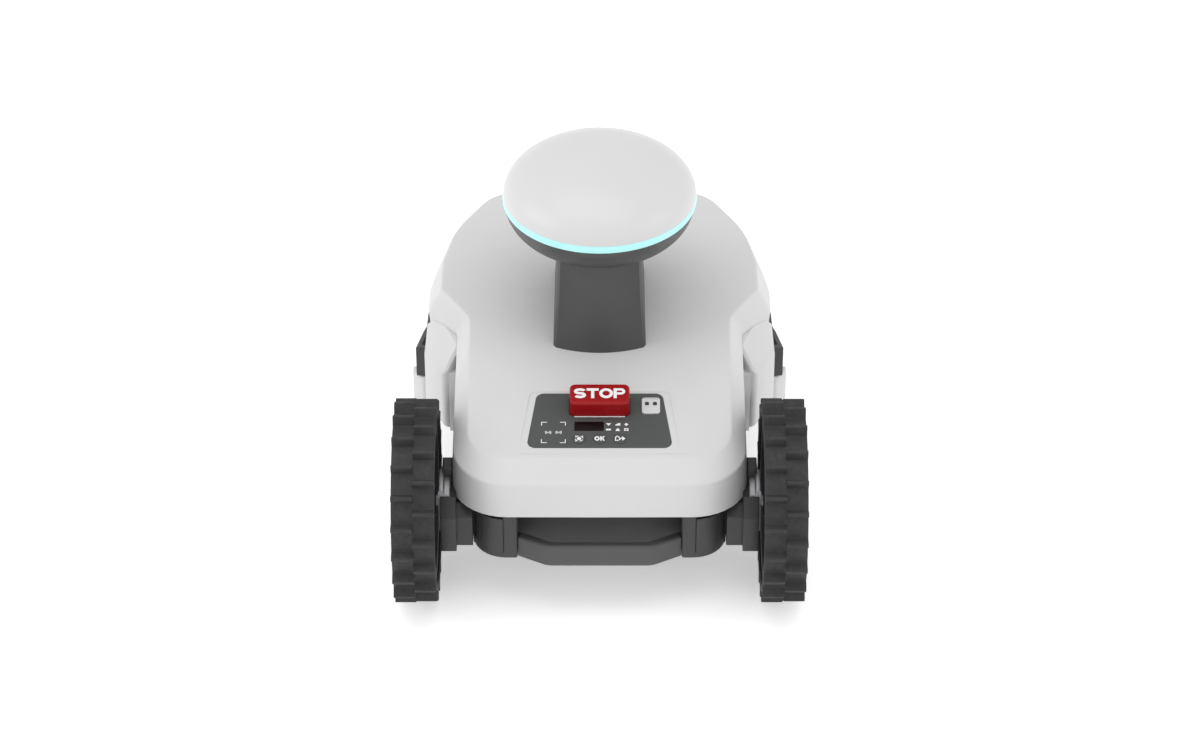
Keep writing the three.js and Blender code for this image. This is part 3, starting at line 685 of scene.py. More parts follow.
# ------------------------------------------------------------------ printed shapes
def bar(x0, y0, x1, y1, width):
    """A straight stroke as pairs of side points."""
    along = Vector((x1 - x0, y1 - y0)).normalized()
    side = Vector((-along.y, along.x)) * width / 2
    start, end = Vector((x0, y0)), Vector((x1, y1))
    return [(start + side, start - side), (end + side, end - side)]


def sweep(centre, radii, start, end, width, steps=10):
    """A curved stroke of even width along part of an ellipse, as pairs of side points."""
    pairs = []
    for k in range(steps + 1):
        a = math.radians(start + (end - start) * k / steps)
        out = Vector((math.cos(a) / radii[0], math.sin(a) / radii[1])).normalized() * width / 2
        spot = Vector((centre[0] + radii[0] * math.cos(a), centre[1] + radii[1] * math.sin(a)))
        pairs.append((spot + out, spot - out))
    return pairs


def disc(cx, cy, radius, steps=16):
    angles = [2 * math.pi * k / steps for k in range(steps)]
    return [(cx + radius * math.cos(a), cy + radius * math.sin(a)) for a in angles]


def printed(name, fills, strokes, height, body, depth=0.12):
    """Thin raised shapes on the keypad's frame. Fills are outlines, strokes are lists of side pairs."""
    points = []
    faces = []
    for outline in fills:
        count = len(outline)
        start = len(points)
        for z in (height - 0.1, height + depth):
            points += [(p[0], p[1], z) for p in outline]
        bridge(faces, start, start + count, count)
        faces.append(tuple(start + j for j in range(count)))
        faces.append(tuple(start + count + j for j in range(count)))
    for stroke in strokes:
        closed = (stroke[0][0] - stroke[-1][0]).length < 1e-4
        pairs = stroke[:-1] if closed else stroke
        start = len(points)
        for left, right in pairs:
            low, high = height - 0.1, height + depth
            points += [(left.x, left.y, low), (right.x, right.y, low), (right.x, right.y, high),
                       (left.x, left.y, high)]
        spans = len(pairs) if closed else len(pairs) - 1
        for k in range(spans):
            bridge(faces, start + 4 * k, start + 4 * ((k + 1) % len(pairs)), 4)
        if not closed:
            faces.append(tuple(start + j for j in range(4)))
            faces.append(tuple(start + 4 * spans + j for j in range(4)))
    obj = make_object(name, points, faces, on_panel)
    return finish_piece(obj, body, "shell_white", PRINT)


def letter_s(x, y, w, h, t):
    rx, ry = (w - t) / 2, (h - t) / 4
    upper = sweep((x + w / 2, y + h / 2 + ry), (rx, ry), 22, 262, t, 16)
    lower = sweep((x + w / 2, y + h / 2 - ry), (rx, ry), 82, -158, t, 16)
    return [], [upper + [(b, a) for a, b in lower]]


def letter_t(x, y, w, h, t):
    m = x + w / 2
    return [[(m - t / 2, y), (m + t / 2, y), (m + t / 2, y + h - t), (x + w, y + h - t), (x + w, y + h),
             (x, y + h), (x, y + h - t), (m - t / 2, y + h - t)]], []


def letter_o(x, y, w, h, t):
    return [], [sweep((x + w / 2, y + h / 2), ((w - t) / 2, (h - t) / 2), 0, 360, t, 32)]


def letter_p(x, y, w, h, t):
    base = y + h * 0.37
    r = (y + h - base) / 2
    middle = (x + w - r, base + r)
    arc = [math.radians(-90 + 180 * k / 10) for k in range(11)]
    bowl = [(middle[0] + r * math.cos(a), middle[1] + r * math.sin(a)) for a in arc]
    outer = [(x, base)] + bowl + [(x, y + h)]
    s = r - t * 0.92
    hollow = [(middle[0] + s * math.cos(a), middle[1] + s * math.sin(a)) for a in arc]
    inner = [(x + t, base + t * 0.92)] + hollow
    inner.append((x + t, y + h - t * 0.92))
    loop = [(Vector(a), Vector(b)) for a, b in zip(outer, inner)]
    stem = bar(x + t / 2, y, x + t / 2, base - 0.01, t)
    return [], [loop + [loop[0]], stem]


def letter_k(x, y, w, h, t):
    shape = [(0, 0), (t, 0), (t, 0.30 * h), (0.42 * w, 0.47 * h), (w - 1.2 * t, 0), (w, 0),
             (0.60 * w, 0.60 * h),
             (w, h), (w - 1.25 * t, h), (t, 0.56 * h), (t, h), (0, h)]
    return [[(x + a, y + b) for a, b in shape]], []


def printed_word(name, letters, x, y, height, stroke, gap, z, body):
    """A generic word in bold block letters, starting at (x, y)."""
    fills, strokes = [], []
    for letter, width in letters:
        more_fills, more_strokes = letter(x, y, width, height, stroke)
        fills += more_fills
        strokes += more_strokes
        x += width + gap
    return printed(name, fills, strokes, z, body)


# ------------------------------------------------------------------ keypad
PANEL_TOP = -0.40
KEY_Y = -24.8
KEY_PITCH = 20.9
STOP_TOP = 18.2


def build_panel():
    plate = slab("keypad_plate", panel_corners(), -1.2, PANEL_TOP, 0.25, on_panel, 3, 8)
    tray = slab("tray", panel_corners(-1.4, -1.4, -1.4, 6), -8, -1, 0.5, on_panel)
    join(plate, tray)
    cut(plate, slab("stop_well", rectangle(-31.5, 31.5, 6.3, 35.3, 5.5), -20, 5, 0.3, on_panel))
    for side in (-1, 0, 1):
        cut(plate, slab("key_well", sharp(disc(side * KEY_PITCH, KEY_Y, 6.6, 48)), -20, 5, 0.3, on_panel))
    cut(plate, slab("window_seat", rectangle(-25.9, 4.4, -13.8, -0.9, 0.6), -2, 5, 0.2, on_panel),
        slab("rain_seat", rectangle(43, 62.5, 9.2, 31.5, 3.2), -4, 5, 0.3, on_panel))
    smooth(plate, 35)
    finish_piece(plate, "body", "panel_grey", PANEL, "control_panel")
    pane = rectangle(-25.6, 4.1, -13.5, -1.2, 0.5)
    window = slab("display_pane", pane, -1.7, PANEL_TOP - 0.1, 0.2, on_panel)
    finish_piece(smooth(window), "body", "display", DISPLAY, "display_window")


def corner_bracket(x, y, right, up):
    """One corner of the tag reader's square, as an outline."""
    long, short, width = 6.0 * right, 5.0 * up, 0.85
    shape = [(0, 0), (long, 0), (long, width * up), (width * right, width * up), (width * right, short),
             (0, short)]
    return [(x + a, y + b) for a, b in shape]


def build_tag_marks():
    fills = [corner_bracket(x, y, right, up) for x, right in ((-59.8, 1), (-34.6, -1))
             for y, up in ((-30.2, 1), (-1.4, -1))]
    strokes = []
    for cx in (-52.6, -41.8):
        fills.append(disc(cx, -15.8, 0.7, 12))
        for way in (0, 180):
            strokes.append(sweep((cx, -15.8), (1.7, 1.7), way - 50, way + 50, 0.6, 6))
            strokes.append(sweep((cx, -15.8), (2.9, 2.9), way - 46, way + 46, 0.6, 6))
    printed("tag_reader_marks", fills, strokes, PANEL_TOP, "body", 0.06)


def build_status_icons():
    left, middle, right = 9.2, 18.6, 27.3
    upper, lower = -4.8, -12.0
    fills = [
        [(left - 2.7, upper + 1.6), (left, upper - 1.9), (left + 2.7, upper + 1.6)],
        [(middle - 2.6, upper - 1.6), (middle + 2.6, upper - 1.6), (middle + 2.6, upper + 1.8),
         (middle + 1.0, upper + 1.8), (middle - 2.6, upper - 0.5)],
        [(right - 2.2, upper), (right, upper - 2.0), (right + 2.2, upper), (right, upper + 2.0)],
        [(left - 2.7, lower - 1.0), (left + 2.4, lower - 1.0), (left + 2.4, lower + 1.2),
         (left - 2.7, lower + 1.2)],
        [(middle - 2.4, lower - 1.8), (middle + 2.4, lower - 1.8), (middle + 1.6, lower + 0.3),
         (middle + 0.6, lower + 1.7), (middle - 0.6, lower + 1.7), (middle - 1.6, lower + 0.3)],
    ]
    strokes = [bar(right - 2.2, lower + 1.2, right + 2.2, lower + 1.2, 1.2),
               bar(right - 1.6, lower + 0.55, right - 1.6, lower - 1.8, 1.2),
               bar(right + 1.6, lower + 0.55, right + 1.6, lower - 1.8, 1.2),
               bar(right - 0.95, lower - 1.3, right + 0.95, lower - 1.3, 0.7)]
    printed("status_icons", fills, strokes, PANEL_TOP, "body", 0.06)


def mow_icon(cx, cy):
    """A disc with swirling strokes and two tufts."""
    fills = [disc(cx, cy, 2.2)]
    strokes = [sweep((cx, cy), (3.9, 3.5), a, a + 55, 1.0, 6) for a in (10, 100, 190, 280)]
    strokes.append(bar(cx + 2.5, cy + 2.7, cx + 4.1, cy + 3.8, 1.0))
    strokes.append(bar(cx - 2.5, cy - 2.7, cx - 4.1, cy - 3.8, 1.0))
    strokes.append(bar(cx - 2.5, cy + 2.8, cx - 3.9, cy + 3.9, 1.0))
    return fills, strokes


def home_icon(cx, cy):
    """A small house with an arrow through its open side."""
    fills = [[(cx + 2.2, cy + 3.2), (cx + 2.2, cy - 3.0), (cx + 5.4, cy + 0.1)]]
    wall = bar(cx - 4.7, cy - 3.0, cx - 4.7, cy + 1.4, 1.1)
    sill = bar(cx - 4.1, cy - 2.5, cx - 1.6, cy - 2.5, 1.1)
    near_roof = bar(cx - 5.0, cy + 1.6, cx - 2.6, cy + 3.6, 1.1)
    far_roof = bar(cx - 2.4, cy + 3.4, cx + 0.2, cy - 0.4, 1.1)
    shaft = bar(cx - 1.2, cy - 2.0, cx + 1.9, cy + 1.2, 1.1)
    strokes = [wall, sill, near_roof, far_roof, shaft]
    return fills, strokes


def build_keys():
    names = ("mow_key", "ok_key", "home_key")
    icons = {"mow_key": mow_icon, "home_key": home_icon}
    for i, name in enumerate(names):
        x = (i - 1) * KEY_PITCH

        def place(p, x=x):
            return on_panel((p[0] + x, p[1] + KEY_Y, p[2]))
        profile = [(0, -5), (6.3, -5), (6.3, -0.2), (6.0, 0.15), (5.4, 0.3), (4.4, 0.32), (0, 0.32)]
        cap = lathe(f"{name}_cap", profile, 48, place)
        finish_piece(smooth(cap, 50), name, "panel_grey", PANEL, name)
        if name in icons:
            fills, strokes = icons[name](x, KEY_Y)
            printed(f"{name}_icon", fills, strokes, 0.32, name, 0.06)
    letters = ((letter_o, 5.4), (letter_k, 4.9))
    printed_word("ok_key_word", letters, -5.3, KEY_Y - 2.9, 6.0, 1.6, 0.5, 0.32, "ok_key")


def build_stop_button():
    def ring(shrink, z):
        outline = closed_outline(rectangle(-31, 31, 6.6, 35.0, 6.0), 8, shrink)
        return [Vector((p.x, p.y, z)) for p in outline]
    levels = [ring(1, -6), ring(0, -5), ring(0.3, STOP_TOP - 0.2), ring(5, STOP_TOP)]
    button = loft("stop_bar", fillet_levels(levels, {2: 2.0}, 6), on_panel)
    smooth(button, 40)
    finish_piece(button, "stop_button", "stop_red", RED, "stop_button")
    letters = ((letter_s, 12.6), (letter_t, 12.4), (letter_o, 14.2), (letter_p, 12.0))
    printed_word("stop_word", letters, -26.4, 14.6, 13.6, 3.3, 0.5, STOP_TOP, "stop_button")
    seat = rectangle(-26, 26, 5.2, 6.2, 0.4)
    strip = slab("stop_bar_seat", seat, PANEL_TOP - 0.3, PANEL_TOP + 0.5, 0.2, on_panel)
    finish_piece(smooth(strip), "body", "shell_white", PRINT)


def build_rain_sensor():
    base = slab("rain_sensor_block", rectangle(43.3, 62.2, 9.5, 31.2, 3.4), -3.7, 1.2, 0.6, on_panel)
    step = slab("rain_sensor_step", rectangle(45, 60.5, 27.2, 30.0, 0.8), 0.3, 3, 0.1, on_panel)
    cut(base, step)
    finish_piece(smooth(base), "body", "shell_white", WHITE, "rain_sensor")
    for name, x in (("left", 48.7), ("right", 56.9)):
        pad = rectangle(x - 2.1, x + 2.1, 20.0, 24.8, 1.4)
        contact = slab(f"{name}_rain_contact", pad, 0.6, 1.6, 0.4, on_panel)
        finish_piece(smooth(contact), "body", "dark_plastic", CONTACT)


# ------------------------------------------------------------------ antenna
ANTENNA_Y = 203
RING_BOTTOM_Z = 341
RING_TOP_Z = 349.7
NECK_CHAMFER = 2.6


def quarter(radius, depth, base, steps=20):
    return [(radius * math.sin(math.pi / 2 * k / steps), base + depth * math.cos(math.pi / 2 * k / steps))
            for k in range(steps + 1)]


def build_antenna():
    centre = (0, ANTENNA_Y)
    dome_outer = quarter(100, 48.2, RING_TOP_Z + 0.4, 24)
    dome = lathe("dome_cover", [(0, 344), (94, 344), (94, 350), (99.6, 350)] + dome_outer[::-1], 128,
                 centre=centre)
    finish_piece(smooth(dome, 50), "body", "dome_white", DOME_WHITE, "antenna_dome")
    ring_profile = rounded_profile([(92, RING_BOTTOM_Z), (99.4, RING_BOTTOM_Z), (100.5, 344), (100.5, 347),
                                    (100.1, RING_TOP_Z), (92, RING_TOP_Z)], 1.1)
    ring = lathe("glowing_ring", ring_profile, 128, centre=centre)
    finish_piece(smooth(ring, 50), "body", "glow", GLOW, "light_ring")
    bowl_outer = quarter(98.5, -52.4, 340.7, 24)
    bowl = lathe("bowl_cover", bowl_outer + [(95, 340.7), (95, 336), (0, 336)], 128, centre=centre)
    finish_piece(smooth(bowl, 50), "body", "dark_plastic", DARK, "antenna_bowl")


def neck_outline(rear, front, half):
    """The neck's section: a rear face that bulges slightly backwards between square corners."""
    sagitta = 9
    arc = []
    for k in range(17):
        x = (half - NECK_CHAMFER) * (-1 + k / 8)
        arc.append((x, rear + sagitta * (x / half) ** 2, 0))
    side = rear + sagitta + NECK_CHAMFER
    corners = [(-half, front - 9, 12), (-half, side, 0.8)]
    corners += arc + [(half, side, 0.8), (half, front - 9, 12), (0, front, 40)]
    return closed_outline(corners, 4)


def build_neck():
    sections = ((126, 280, 48.6, 188), (128, 278, 48.2, 204), (133.5, 272, 45, 250), (139, 266, 43, 302))
    levels = []
    for rear, front, half, z in sections:
        levels.append([Vector((p.x, p.y, z)) for p in neck_outline(rear, front, half)])
    neck = loft("neck_column", levels)
    smooth(neck, 30)
    finish_piece(neck, "body", "dark_plastic", DARK, "antenna_neck")


# ------------------------------------------------------------------ chassis
DECK_Y = 165


def chassis_outline(shrink):
    return half_outline(-12, [(130, -12, 2), (130, 139, 3), (146, 148, 3), (146, 304, 30), (126, 391, 30)],
                        392, shrink, 8, 3)


def cylinder(name, radius, z0, z1, x, y, segments=96):
    levels = [[Vector((p[0], p[1], z)) for p in disc(x, y, radius, segments)] for z in (z0, z1)]
    return loft(name, levels)


def cylinder_x(name, radius, x0, x1, y, z, segments=48):
    return lathe_x(name, [(0, x0), (radius, x0), (radius, x1), (0, x1)], y, z, segments)


def build_chassis():
    def level(distance, z):
        return full_loop(chassis_outline(distance), lambda x, y: z)
    levels = [level(3, 63), level(3, 124), level(0, 124), level(0, 60), level(4, 60)]
    tub = loft("chassis_tub", fillet_levels(levels, {3: 1.8}, 4))
    nose = [(-145, 293, 0), (145, 293, 0), (145, 304, 29), (125, 390, 29), (-125, 390, 29), (-145, 304, 29)]
    join(tub, slab("nose_floor", nose, 61, 109, 0.5, steps=1))
    for side in (-1, 1):
        join(tub, cylinder("caster_boss", 13, 104, 123.5, side * CASTER_X, CASTER_STEM_Y, 48),
             block("board_rail", side * 47 - 3, side * 47 + 3, 310, 370, 107, 117),
             block("motor_cradle", side * 100 - 15, side * 100 + 15, 14, 35, 61, 72))
    cut(tub,
        block("under_nose", -200, 200, 296, 500, 0, 106),
        cylinder("deck_hole", 125.4, 0, 104, 0, DECK_Y),
        block("battery_opening", -52, 52, -5, 34, 50, 70))
    join(tub, block("rear_lip", -82, 82, -11.8, -8.6, 55.5, 64))
    for side in (-1, 1):
        cut(tub, cylinder("stem_bore", 8.4, 90, 140, side * CASTER_X, CASTER_STEM_Y, 32),
            block("tongue_slot", side * 60 - 10.5, side * 60 + 10.5, 380, 400, 109.2, 117.8),
            cylinder("screw_hole", 2.4, 50, 70, side * 56.5, 15, 24),
            cylinder_x("motor_room", 20.5, side * 96.5 - 30.4, side * 96.5 + 30.4, MOTOR_Y, MOTOR_Z),
            cylinder_x("shaft_hole", 5, side * 129 - 9, side * 129 + 9, MOTOR_Y, MOTOR_Z))
    smooth(tub, 35)
    finish_piece(tub, "body", "dark_plastic", CASING_DARK, "chassis")


def build_cutting_deck():
    """The bowl over the cutting disc, with a flange on the chassis floor and a collar for the carriage."""
    raw = [(31.5, 98), (122, 98), (122, 60), (125, 60), (125, 63.3), (127.3, 63.3), (127.3, 66.3),
           (125, 66.3), (125, 101), (35, 101), (35, 110), (31.5, 110)]
    deck = lathe("deck_bowl", rounded_profile(raw, 1.0), 96, centre=(0, DECK_Y))
    cut(deck, cylinder("screw_bore", 4.4, 90, 104, 45, DECK_Y, 32))
    smooth(deck, 35)
    finish_piece(deck, "body", "dark_plastic", DARK, "cutting_deck")


def build_corner_posts():
    """The rounded blocks that carry the handle, each with a blank plate inside a thin raised frame."""
    corners = [(84, -12.3, 0.5), (84, -39.3, 3), (130, -39, 34), (130, -12.3, 0.5)]
    post = slab("right_corner_block", corners, 60, 124, 1.4, arc=10)
    join(post, corner_plate("plate", 67, 113, -86, -49, 35.0))
    cut(post, corner_plate("plate_field", 68, 112, -85.2, -49.8, 36, 34.6))
    smooth(post, 35)
    left = mirror_piece(post, "left_corner_block")
    finish_piece(post, "body", "dark_plastic", CASING_DARK, "right_corner_post")
    finish_piece(left, "body", "dark_plastic", CASING_DARK, "left_corner_post")


def corner_plate(name, z0, z1, start, end, outer, inner=30):
    """A thin plate bent round the corner block's curve."""
    angles = [math.radians(start + (end - start) * k / 10) for k in range(11)]
    centre = Vector((96, -5))
    rim = [(centre.x + outer * math.cos(a), centre.y + outer * math.sin(a)) for a in angles]
    back = [(centre.x + inner * math.cos(a), centre.y + inner * math.sin(a)) for a in reversed(angles)]
    return slab(name, sharp(rim + back), z0, z1, 0.15, steps=1)


def build_handle():
    outline = [(-83.7, -37, 1), (-54, -53, 22), (54, -53, 22), (83.7, -37, 1), (83.7, -25.5, 1),
               (49, -44, 14), (-49, -44, 14), (-83.7, -25.5, 1)]
    handle = slab("handle_bar", outline, 60, 86, 2.6, steps=5, arc=6)
    smooth(handle, 35)
    finish_piece(handle, "body", "dark_plastic", DARK, "carry_handle")


def bumper_outline(shrink):
    return half_outline(205, [(196.5, 206, 1), (189.5, 236, 20), (186, 246, 20), (185.5, 268, 50),
                              (180, 322, 90), (130, 454, 60)], 455, shrink, 10, 6)


def build_bumper():
    def level(distance, z):
        return full_loop(bumper_outline(distance), lambda x, y: z)
    low, high = 112, 150
    levels = [level(3, low), level(0, low), level(0, high), level(3, high)]
    band = loft("bumper_band", fillet_levels(levels, {1: 2.2, 2: 2.2}, 4))
    cut(band, loft("bumper_inside", [level(5, 100), level(5, 160)]),
        block("bumper_rear", -220, 220, 100, 206.5, 90, 170))
    for side in (-1, 1):
        tongue = rectangle(side * 60 - 10, side * 60 + 10, 384, 452, 2)
        join(band, slab("tongue", tongue, 109.5, 117.4, 0.8))
        cut(band, block("contact_seat", side * 24 - 7.3, side * 24 + 7.3, 452.8, 460, 121, 141))
    smooth(band, 35)
    finish_piece(band, "front_bumper", "dark_plastic", DARK, "front_bumper")
    for name, side in (("left", -1), ("right", 1)):
        face = rectangle(side * 24 - 7, side * 24 + 7, 453.1, 454.7, 0.4)
        plate = slab(f"{name}_contact_plate", face, 121.3, 140.7, 0.5)
        finish_piece(smooth(plate), "front_bumper", "brass", BRASS, f"{name}_charging_contact")


# ------------------------------------------------------------------ drive wheels
CLEATS = 20
CLEAT_PHASE = 2.8
TREAD_BASE = 94.7


def tread_radius(angle, phase):
    """The tyre's radius at an angle from the rearward horizontal, in degrees: a row of cleats."""
    pitch = 360 / CLEATS
    off = abs((angle - phase + pitch / 2) % pitch - pitch / 2)
    crest, foot = 1.0, 2.5
    if off <= crest:
        return TYRE_RADIUS
    if off >= foot:
        return TREAD_BASE
    return TYRE_RADIUS + (TREAD_BASE - TYRE_RADIUS) * (off - crest) / (foot - crest)


def tread_angles():
    angles = set()
    for row in (0, 9):
        for i in range(CLEATS):
            middle = CLEAT_PHASE + row + 18 * i
            for off in (-2.5, -1.0, 1.0, 2.5):
                angles.add(round((middle + off) % 360, 3))
    return sorted(angles)


def build_tyre(name, body, inner_x, node):
    """Two rows of staggered cleats; the sidewalls turn in to a lip at the rim."""
    middle_x = inner_x + 22
    angles = tread_angles()
    bore = 88.0
    points = []
    columns = []
    for angle in angles:
        first = tread_radius(angle, CLEAT_PHASE)
        second = tread_radius(angle, CLEAT_PHASE + 9)
        column = [(bore, inner_x + 1.2), (90.2, inner_x), (first, inner_x), (first, middle_x),
                  (second, middle_x), (second, inner_x + 44), (90.2, inner_x + 44), (bore, inner_x + 42.8)]
        columns.append(range(len(points), len(points) + len(column)))
        a = math.radians(angle)
        points += [(x, -r * math.cos(a), TYRE_RADIUS + r * math.sin(a)) for r, x in column]
    faces = []
    for i, column in enumerate(columns):
        nxt = columns[(i + 1) % len(columns)]
        for j in range(len(column)):
            k = (j + 1) % len(column)
            faces.append((column[j], nxt[j], nxt[k], column[k]))
    tyre = make_object(name, points, faces)
    clean_flat_faces(tyre)
    bevel(tyre, 0.9, 2, 30)
    smooth(tyre, 40)
    return finish_piece(tyre, body, "tyre_rubber", TYRE, node)


def clean_flat_faces(obj):
    """Removes faces and edges that have no area or length."""
    bm = bmesh.new()
    bm.from_mesh(obj.data)
    bmesh.ops.remove_doubles(bm, verts=bm.verts, dist=1e-5)
    bmesh.ops.dissolve_degenerate(bm, edges=bm.edges, dist=1e-5)
    bmesh.ops.recalc_face_normals(bm, faces=bm.faces)
    bm.to_mesh(obj.data)
    bm.free()


def build_rim(side_name, side):
    def along(x):
        return side * (TYRE_INNER_X + x)
    raw = [(6.4, 2), (16, 2), (20, 25), (80, 25), (82, 3), (87.4, 3), (87.4, 41), (81, 41), (78, 33),
           (20, 30), (18, 40), (6.4, 40)]
    profile = rounded_profile([(r, along(x)) for r, x in raw], 1.5)
    rim = lathe_x(f"{side_name}_rim_casting", profile, 0, TYRE_RADIUS, 96)
    smooth(rim, 35)
    finish_piece(rim, f"{side_name}_wheel", "dark_plastic", DARK, f"{side_name}_rim")
    cap_raw = [(0, 206.2), (17.4, 206.2), (17.4, 208.4), (14, 209.3), (0, 209.3)]
    cap_profile = rounded_profile([(r, side * x) for r, x in cap_raw], 0.8)
    cap = lathe_x(f"{side_name}_hub_cover", cap_profile, 0, TYRE_RADIUS, 64)
    finish_piece(smooth(cap), f"{side_name}_wheel", "dark_plastic", DARK, f"{side_name}_hub_cap")


def build_bearing_bosses():
    """The stepped cast ring round each axle, showing above the gear case, in a light grey metal that is a
    painted highlight.
    """
    steps = rounded_profile([(0, 153), (28, 153), (28, 159.5), (32, 159.5), (32, 165), (0, 165)], 1.4)
    boss = lathe_x("right_bearing_boss", steps, 0, TYRE_RADIUS, 64)
    cut(boss, block("boss_trim", 140, 180, -60, -18.5, 60, 150))
    left_boss = mirror_piece(smooth(boss, 35), "left_bearing_boss")
    # Both bosses get the light grey metal that paints in their highlight.
    finish_piece(boss, "body", "steel", BOSS_PAINTED_HIGHLIGHT)
    finish_piece(left_boss, "body", "steel", BOSS_PAINTED_HIGHLIGHT)


def build_gear_housing():
    """The gear case inboard of each drive wheel, with a sloped face behind and a sensor box on top."""
    outer = [(-33, 62, 4), (60, 62, 4), (60, 108, 5), (54, 120, 5), (-20, 124, 2), (-33, 106, 3)]
    inner = [(-25, 64, 3), (45, 64, 3), (45, 104, 4), (38, 112, 4), (-12, 112, 4), (-25, 102, 4)]
    housing = slab_x("right_gear_case", outer, 147, 163, 1.0)
    join(housing, slab_x("case_root", inner, 130.3, 149, 0.8))
    sensor = [(4, 112, 1), (24, 112, 1), (24, 143, 2), (4, 143, 2)]
    join(housing, slab_x("case_sensor", sensor, 151.5, 161, 1.0))
    build_bearing_bosses()
    smooth(housing, 35)
    left = mirror_piece(housing, "left_gear_case")
    finish_piece(housing, "body", "dark_plastic", CASING_DARK, "right_gear_housing")
    finish_piece(left, "body", "dark_plastic", CASING_DARK, "left_gear_housing")


# ------------------------------------------------------------------ casters
def build_caster(side_name, side):
    x, stem_y, wheel_y = side * CASTER_X, CASTER_STEM_Y, CASTER_WHEEL_Y
    crown = slab(f"{side_name}_fork", rectangle(x - 21, x + 21, wheel_y - 14, stem_y + 13, 9), 88, 96, 1.5)
    arm = [(wheel_y - 9, 34, 8), (wheel_y + 9, 34, 8), (stem_y + 10, 91, 3), (wheel_y - 12, 91, 3)]
    for edge in (-1, 1):
        join(crown, slab_x("arm", arm, x + edge * 19 - 2, x + edge * 19 + 2, 0.8))
    join(crown, cylinder("stem", 8, 92, 128, x, stem_y, 48))
    smooth(crown, 35)
    finish_piece(crown, f"{side_name}_caster", "dark_plastic", DARK, f"{side_name}_caster_fork")
    raw = [(4.4, -14), (14, -14), (16, -11), (27, -11), (29, -14), (34, -13.5), (39.5, -11), (41.95, -6),
           (41.95, 6), (39.5, 11), (34, 13.5), (29, 14), (27, 11), (16, 11), (14, 14), (4.4, 14)]
    profile = rounded_profile([(r, x + d) for r, d in raw], 1.5)
    wheel = lathe_x(f"{side_name}_caster_tyre", profile, wheel_y, CASTER_AXLE_Z, 80)
    wheel_body = f"{side_name}_caster_wheel"
    finish_piece(smooth(wheel), wheel_body, "tyre_rubber", TYRE, wheel_body)
    pin_raw = [(0, -24.5), (5.5, -24.5), (5.5, -21.4), (4, -21.4), (4, 21.4), (5.5, 21.4), (5.5, 24.5),
               (0, 24.5)]
    pin_profile = rounded_profile([(r, x + d) for r, d in pin_raw], 0.5)
    pin = lathe_x(f"{side_name}_caster_bolt", pin_profile, wheel_y, CASTER_AXLE_Z, 32)
    finish_piece(smooth(pin), f"{side_name}_caster", "steel", STEEL, f"{side_name}_caster_pin")


# ------------------------------------------------------------------ cutting unit
BLADE_CIRCLE = 78


def build_cutting_unit():
    centre = (0, DECK_Y)
    carriage = lathe("carriage_can", rounded_profile([(8.4, 50), (30, 50), (30, 118), (8.4, 118)], 1.5), 64,
                     centre=centre)
    join(carriage, slab("carriage_arm", rectangle(20, 53, DECK_Y - 8, DECK_Y + 8, 6), 112, 117.5, 1))
    finish_piece(smooth(carriage), "cutter_carriage", "dark_plastic", DARK, "cutter_carriage")
    disc_profile = rounded_profile([(0, 42), (88, 42), (92, 43.2), (92, 45), (40, 45), (34, 48), (10, 48.5),
                                    (8, 68), (0, 68)], 0.6)
    plate = lathe("disc_plate", disc_profile, 96, centre=centre)
    for i in range(3):
        angle = math.radians(90 + 120 * i + 60)
        x, y = 62 * math.cos(angle), DECK_Y + 62 * math.sin(angle)
        cut(plate, cylinder("vent", 12, 30, 47, x, y, 40))
    finish_piece(smooth(plate, 35), "cutting_disc", "dark_plastic", DARK, "cutting_disc")
    skid_raw = [(0, 33), (48, 33), (60, 36.6), (60, 38.5), (10, 38.5), (10, 41.7), (0, 41.7)]
    skid = lathe("skid_dish", rounded_profile(skid_raw, 1), 80, centre=centre)
    finish_piece(smooth(skid, 35), "cutting_disc", "dark_plastic", DARK, "skid_plate")


def build_blades():
    outline = [(-8, -7, 5), (26, -9, 2), (34, -4, 1), (34, 4, 1), (26, 9, 2), (-8, 7, 5)]
    for i in range(3):
        angle = math.radians(90 + 120 * i)
        spot = Vector((BLADE_CIRCLE * math.cos(angle), DECK_Y + BLADE_CIRCLE * math.sin(angle), 0))
        turn = Matrix.Translation(spot) @ Matrix.Rotation(angle, 4, "Z")

        def place(p, turn=turn):
            return to_row(turn @ Vector(p))
        knife = slab(f"blade_steel_{i + 1}", outline, 40, 41.3, 0.3, place)
        hole = slab("blade_hole", sharp(disc(0, 0, 3.4, 32)), 30, 50, 0.1, place)
        cut(knife, hole)
        finish_piece(smooth(knife, 30), f"blade_{i + 1}", "steel", BLADE_STEEL, f"blade_{i + 1}")
        raw = [(0, 38.6), (2.6, 38.6), (2.6, 37.8), (6.5, 37.8), (6.5, 39.7), (3, 39.7), (3, 48), (0, 48)]
        screw = lathe(f"blade_bolt_{i + 1}", rounded_profile(raw, 0.3), 32, place)
        finish_piece(smooth(screw, 35), "cutting_disc", "steel", STEEL, f"blade_screw_{i + 1}")


def build_battery_cover():
    cover = slab("battery_door", rectangle(-62, 62, -8, 38, 5), 57.3, 59.7, 0.6)
    for x in range(-44, 45, 11):
        join(cover, slab("rib", rectangle(x - 1, x + 1, 2, 28, 0.9), 56.9, 58, 0.3))
    finish_piece(smooth(cover, 35), "body", "dark_plastic", DARK, "battery_cover")
    for name, side in (("left", -1), ("right", 1)):
        raw = [(0, 55.8), (1.8, 55.8), (1.8, 55), (4, 55), (4, 57), (2, 57), (2, 66), (0, 66)]
        screw = lathe(f"{name}_door_screw", rounded_profile(raw, 0.3), 32, centre=(side * 56.5, 15))
        finish_piece(smooth(screw, 35), "body", "steel", STEEL, f"{name}_cover_screw")


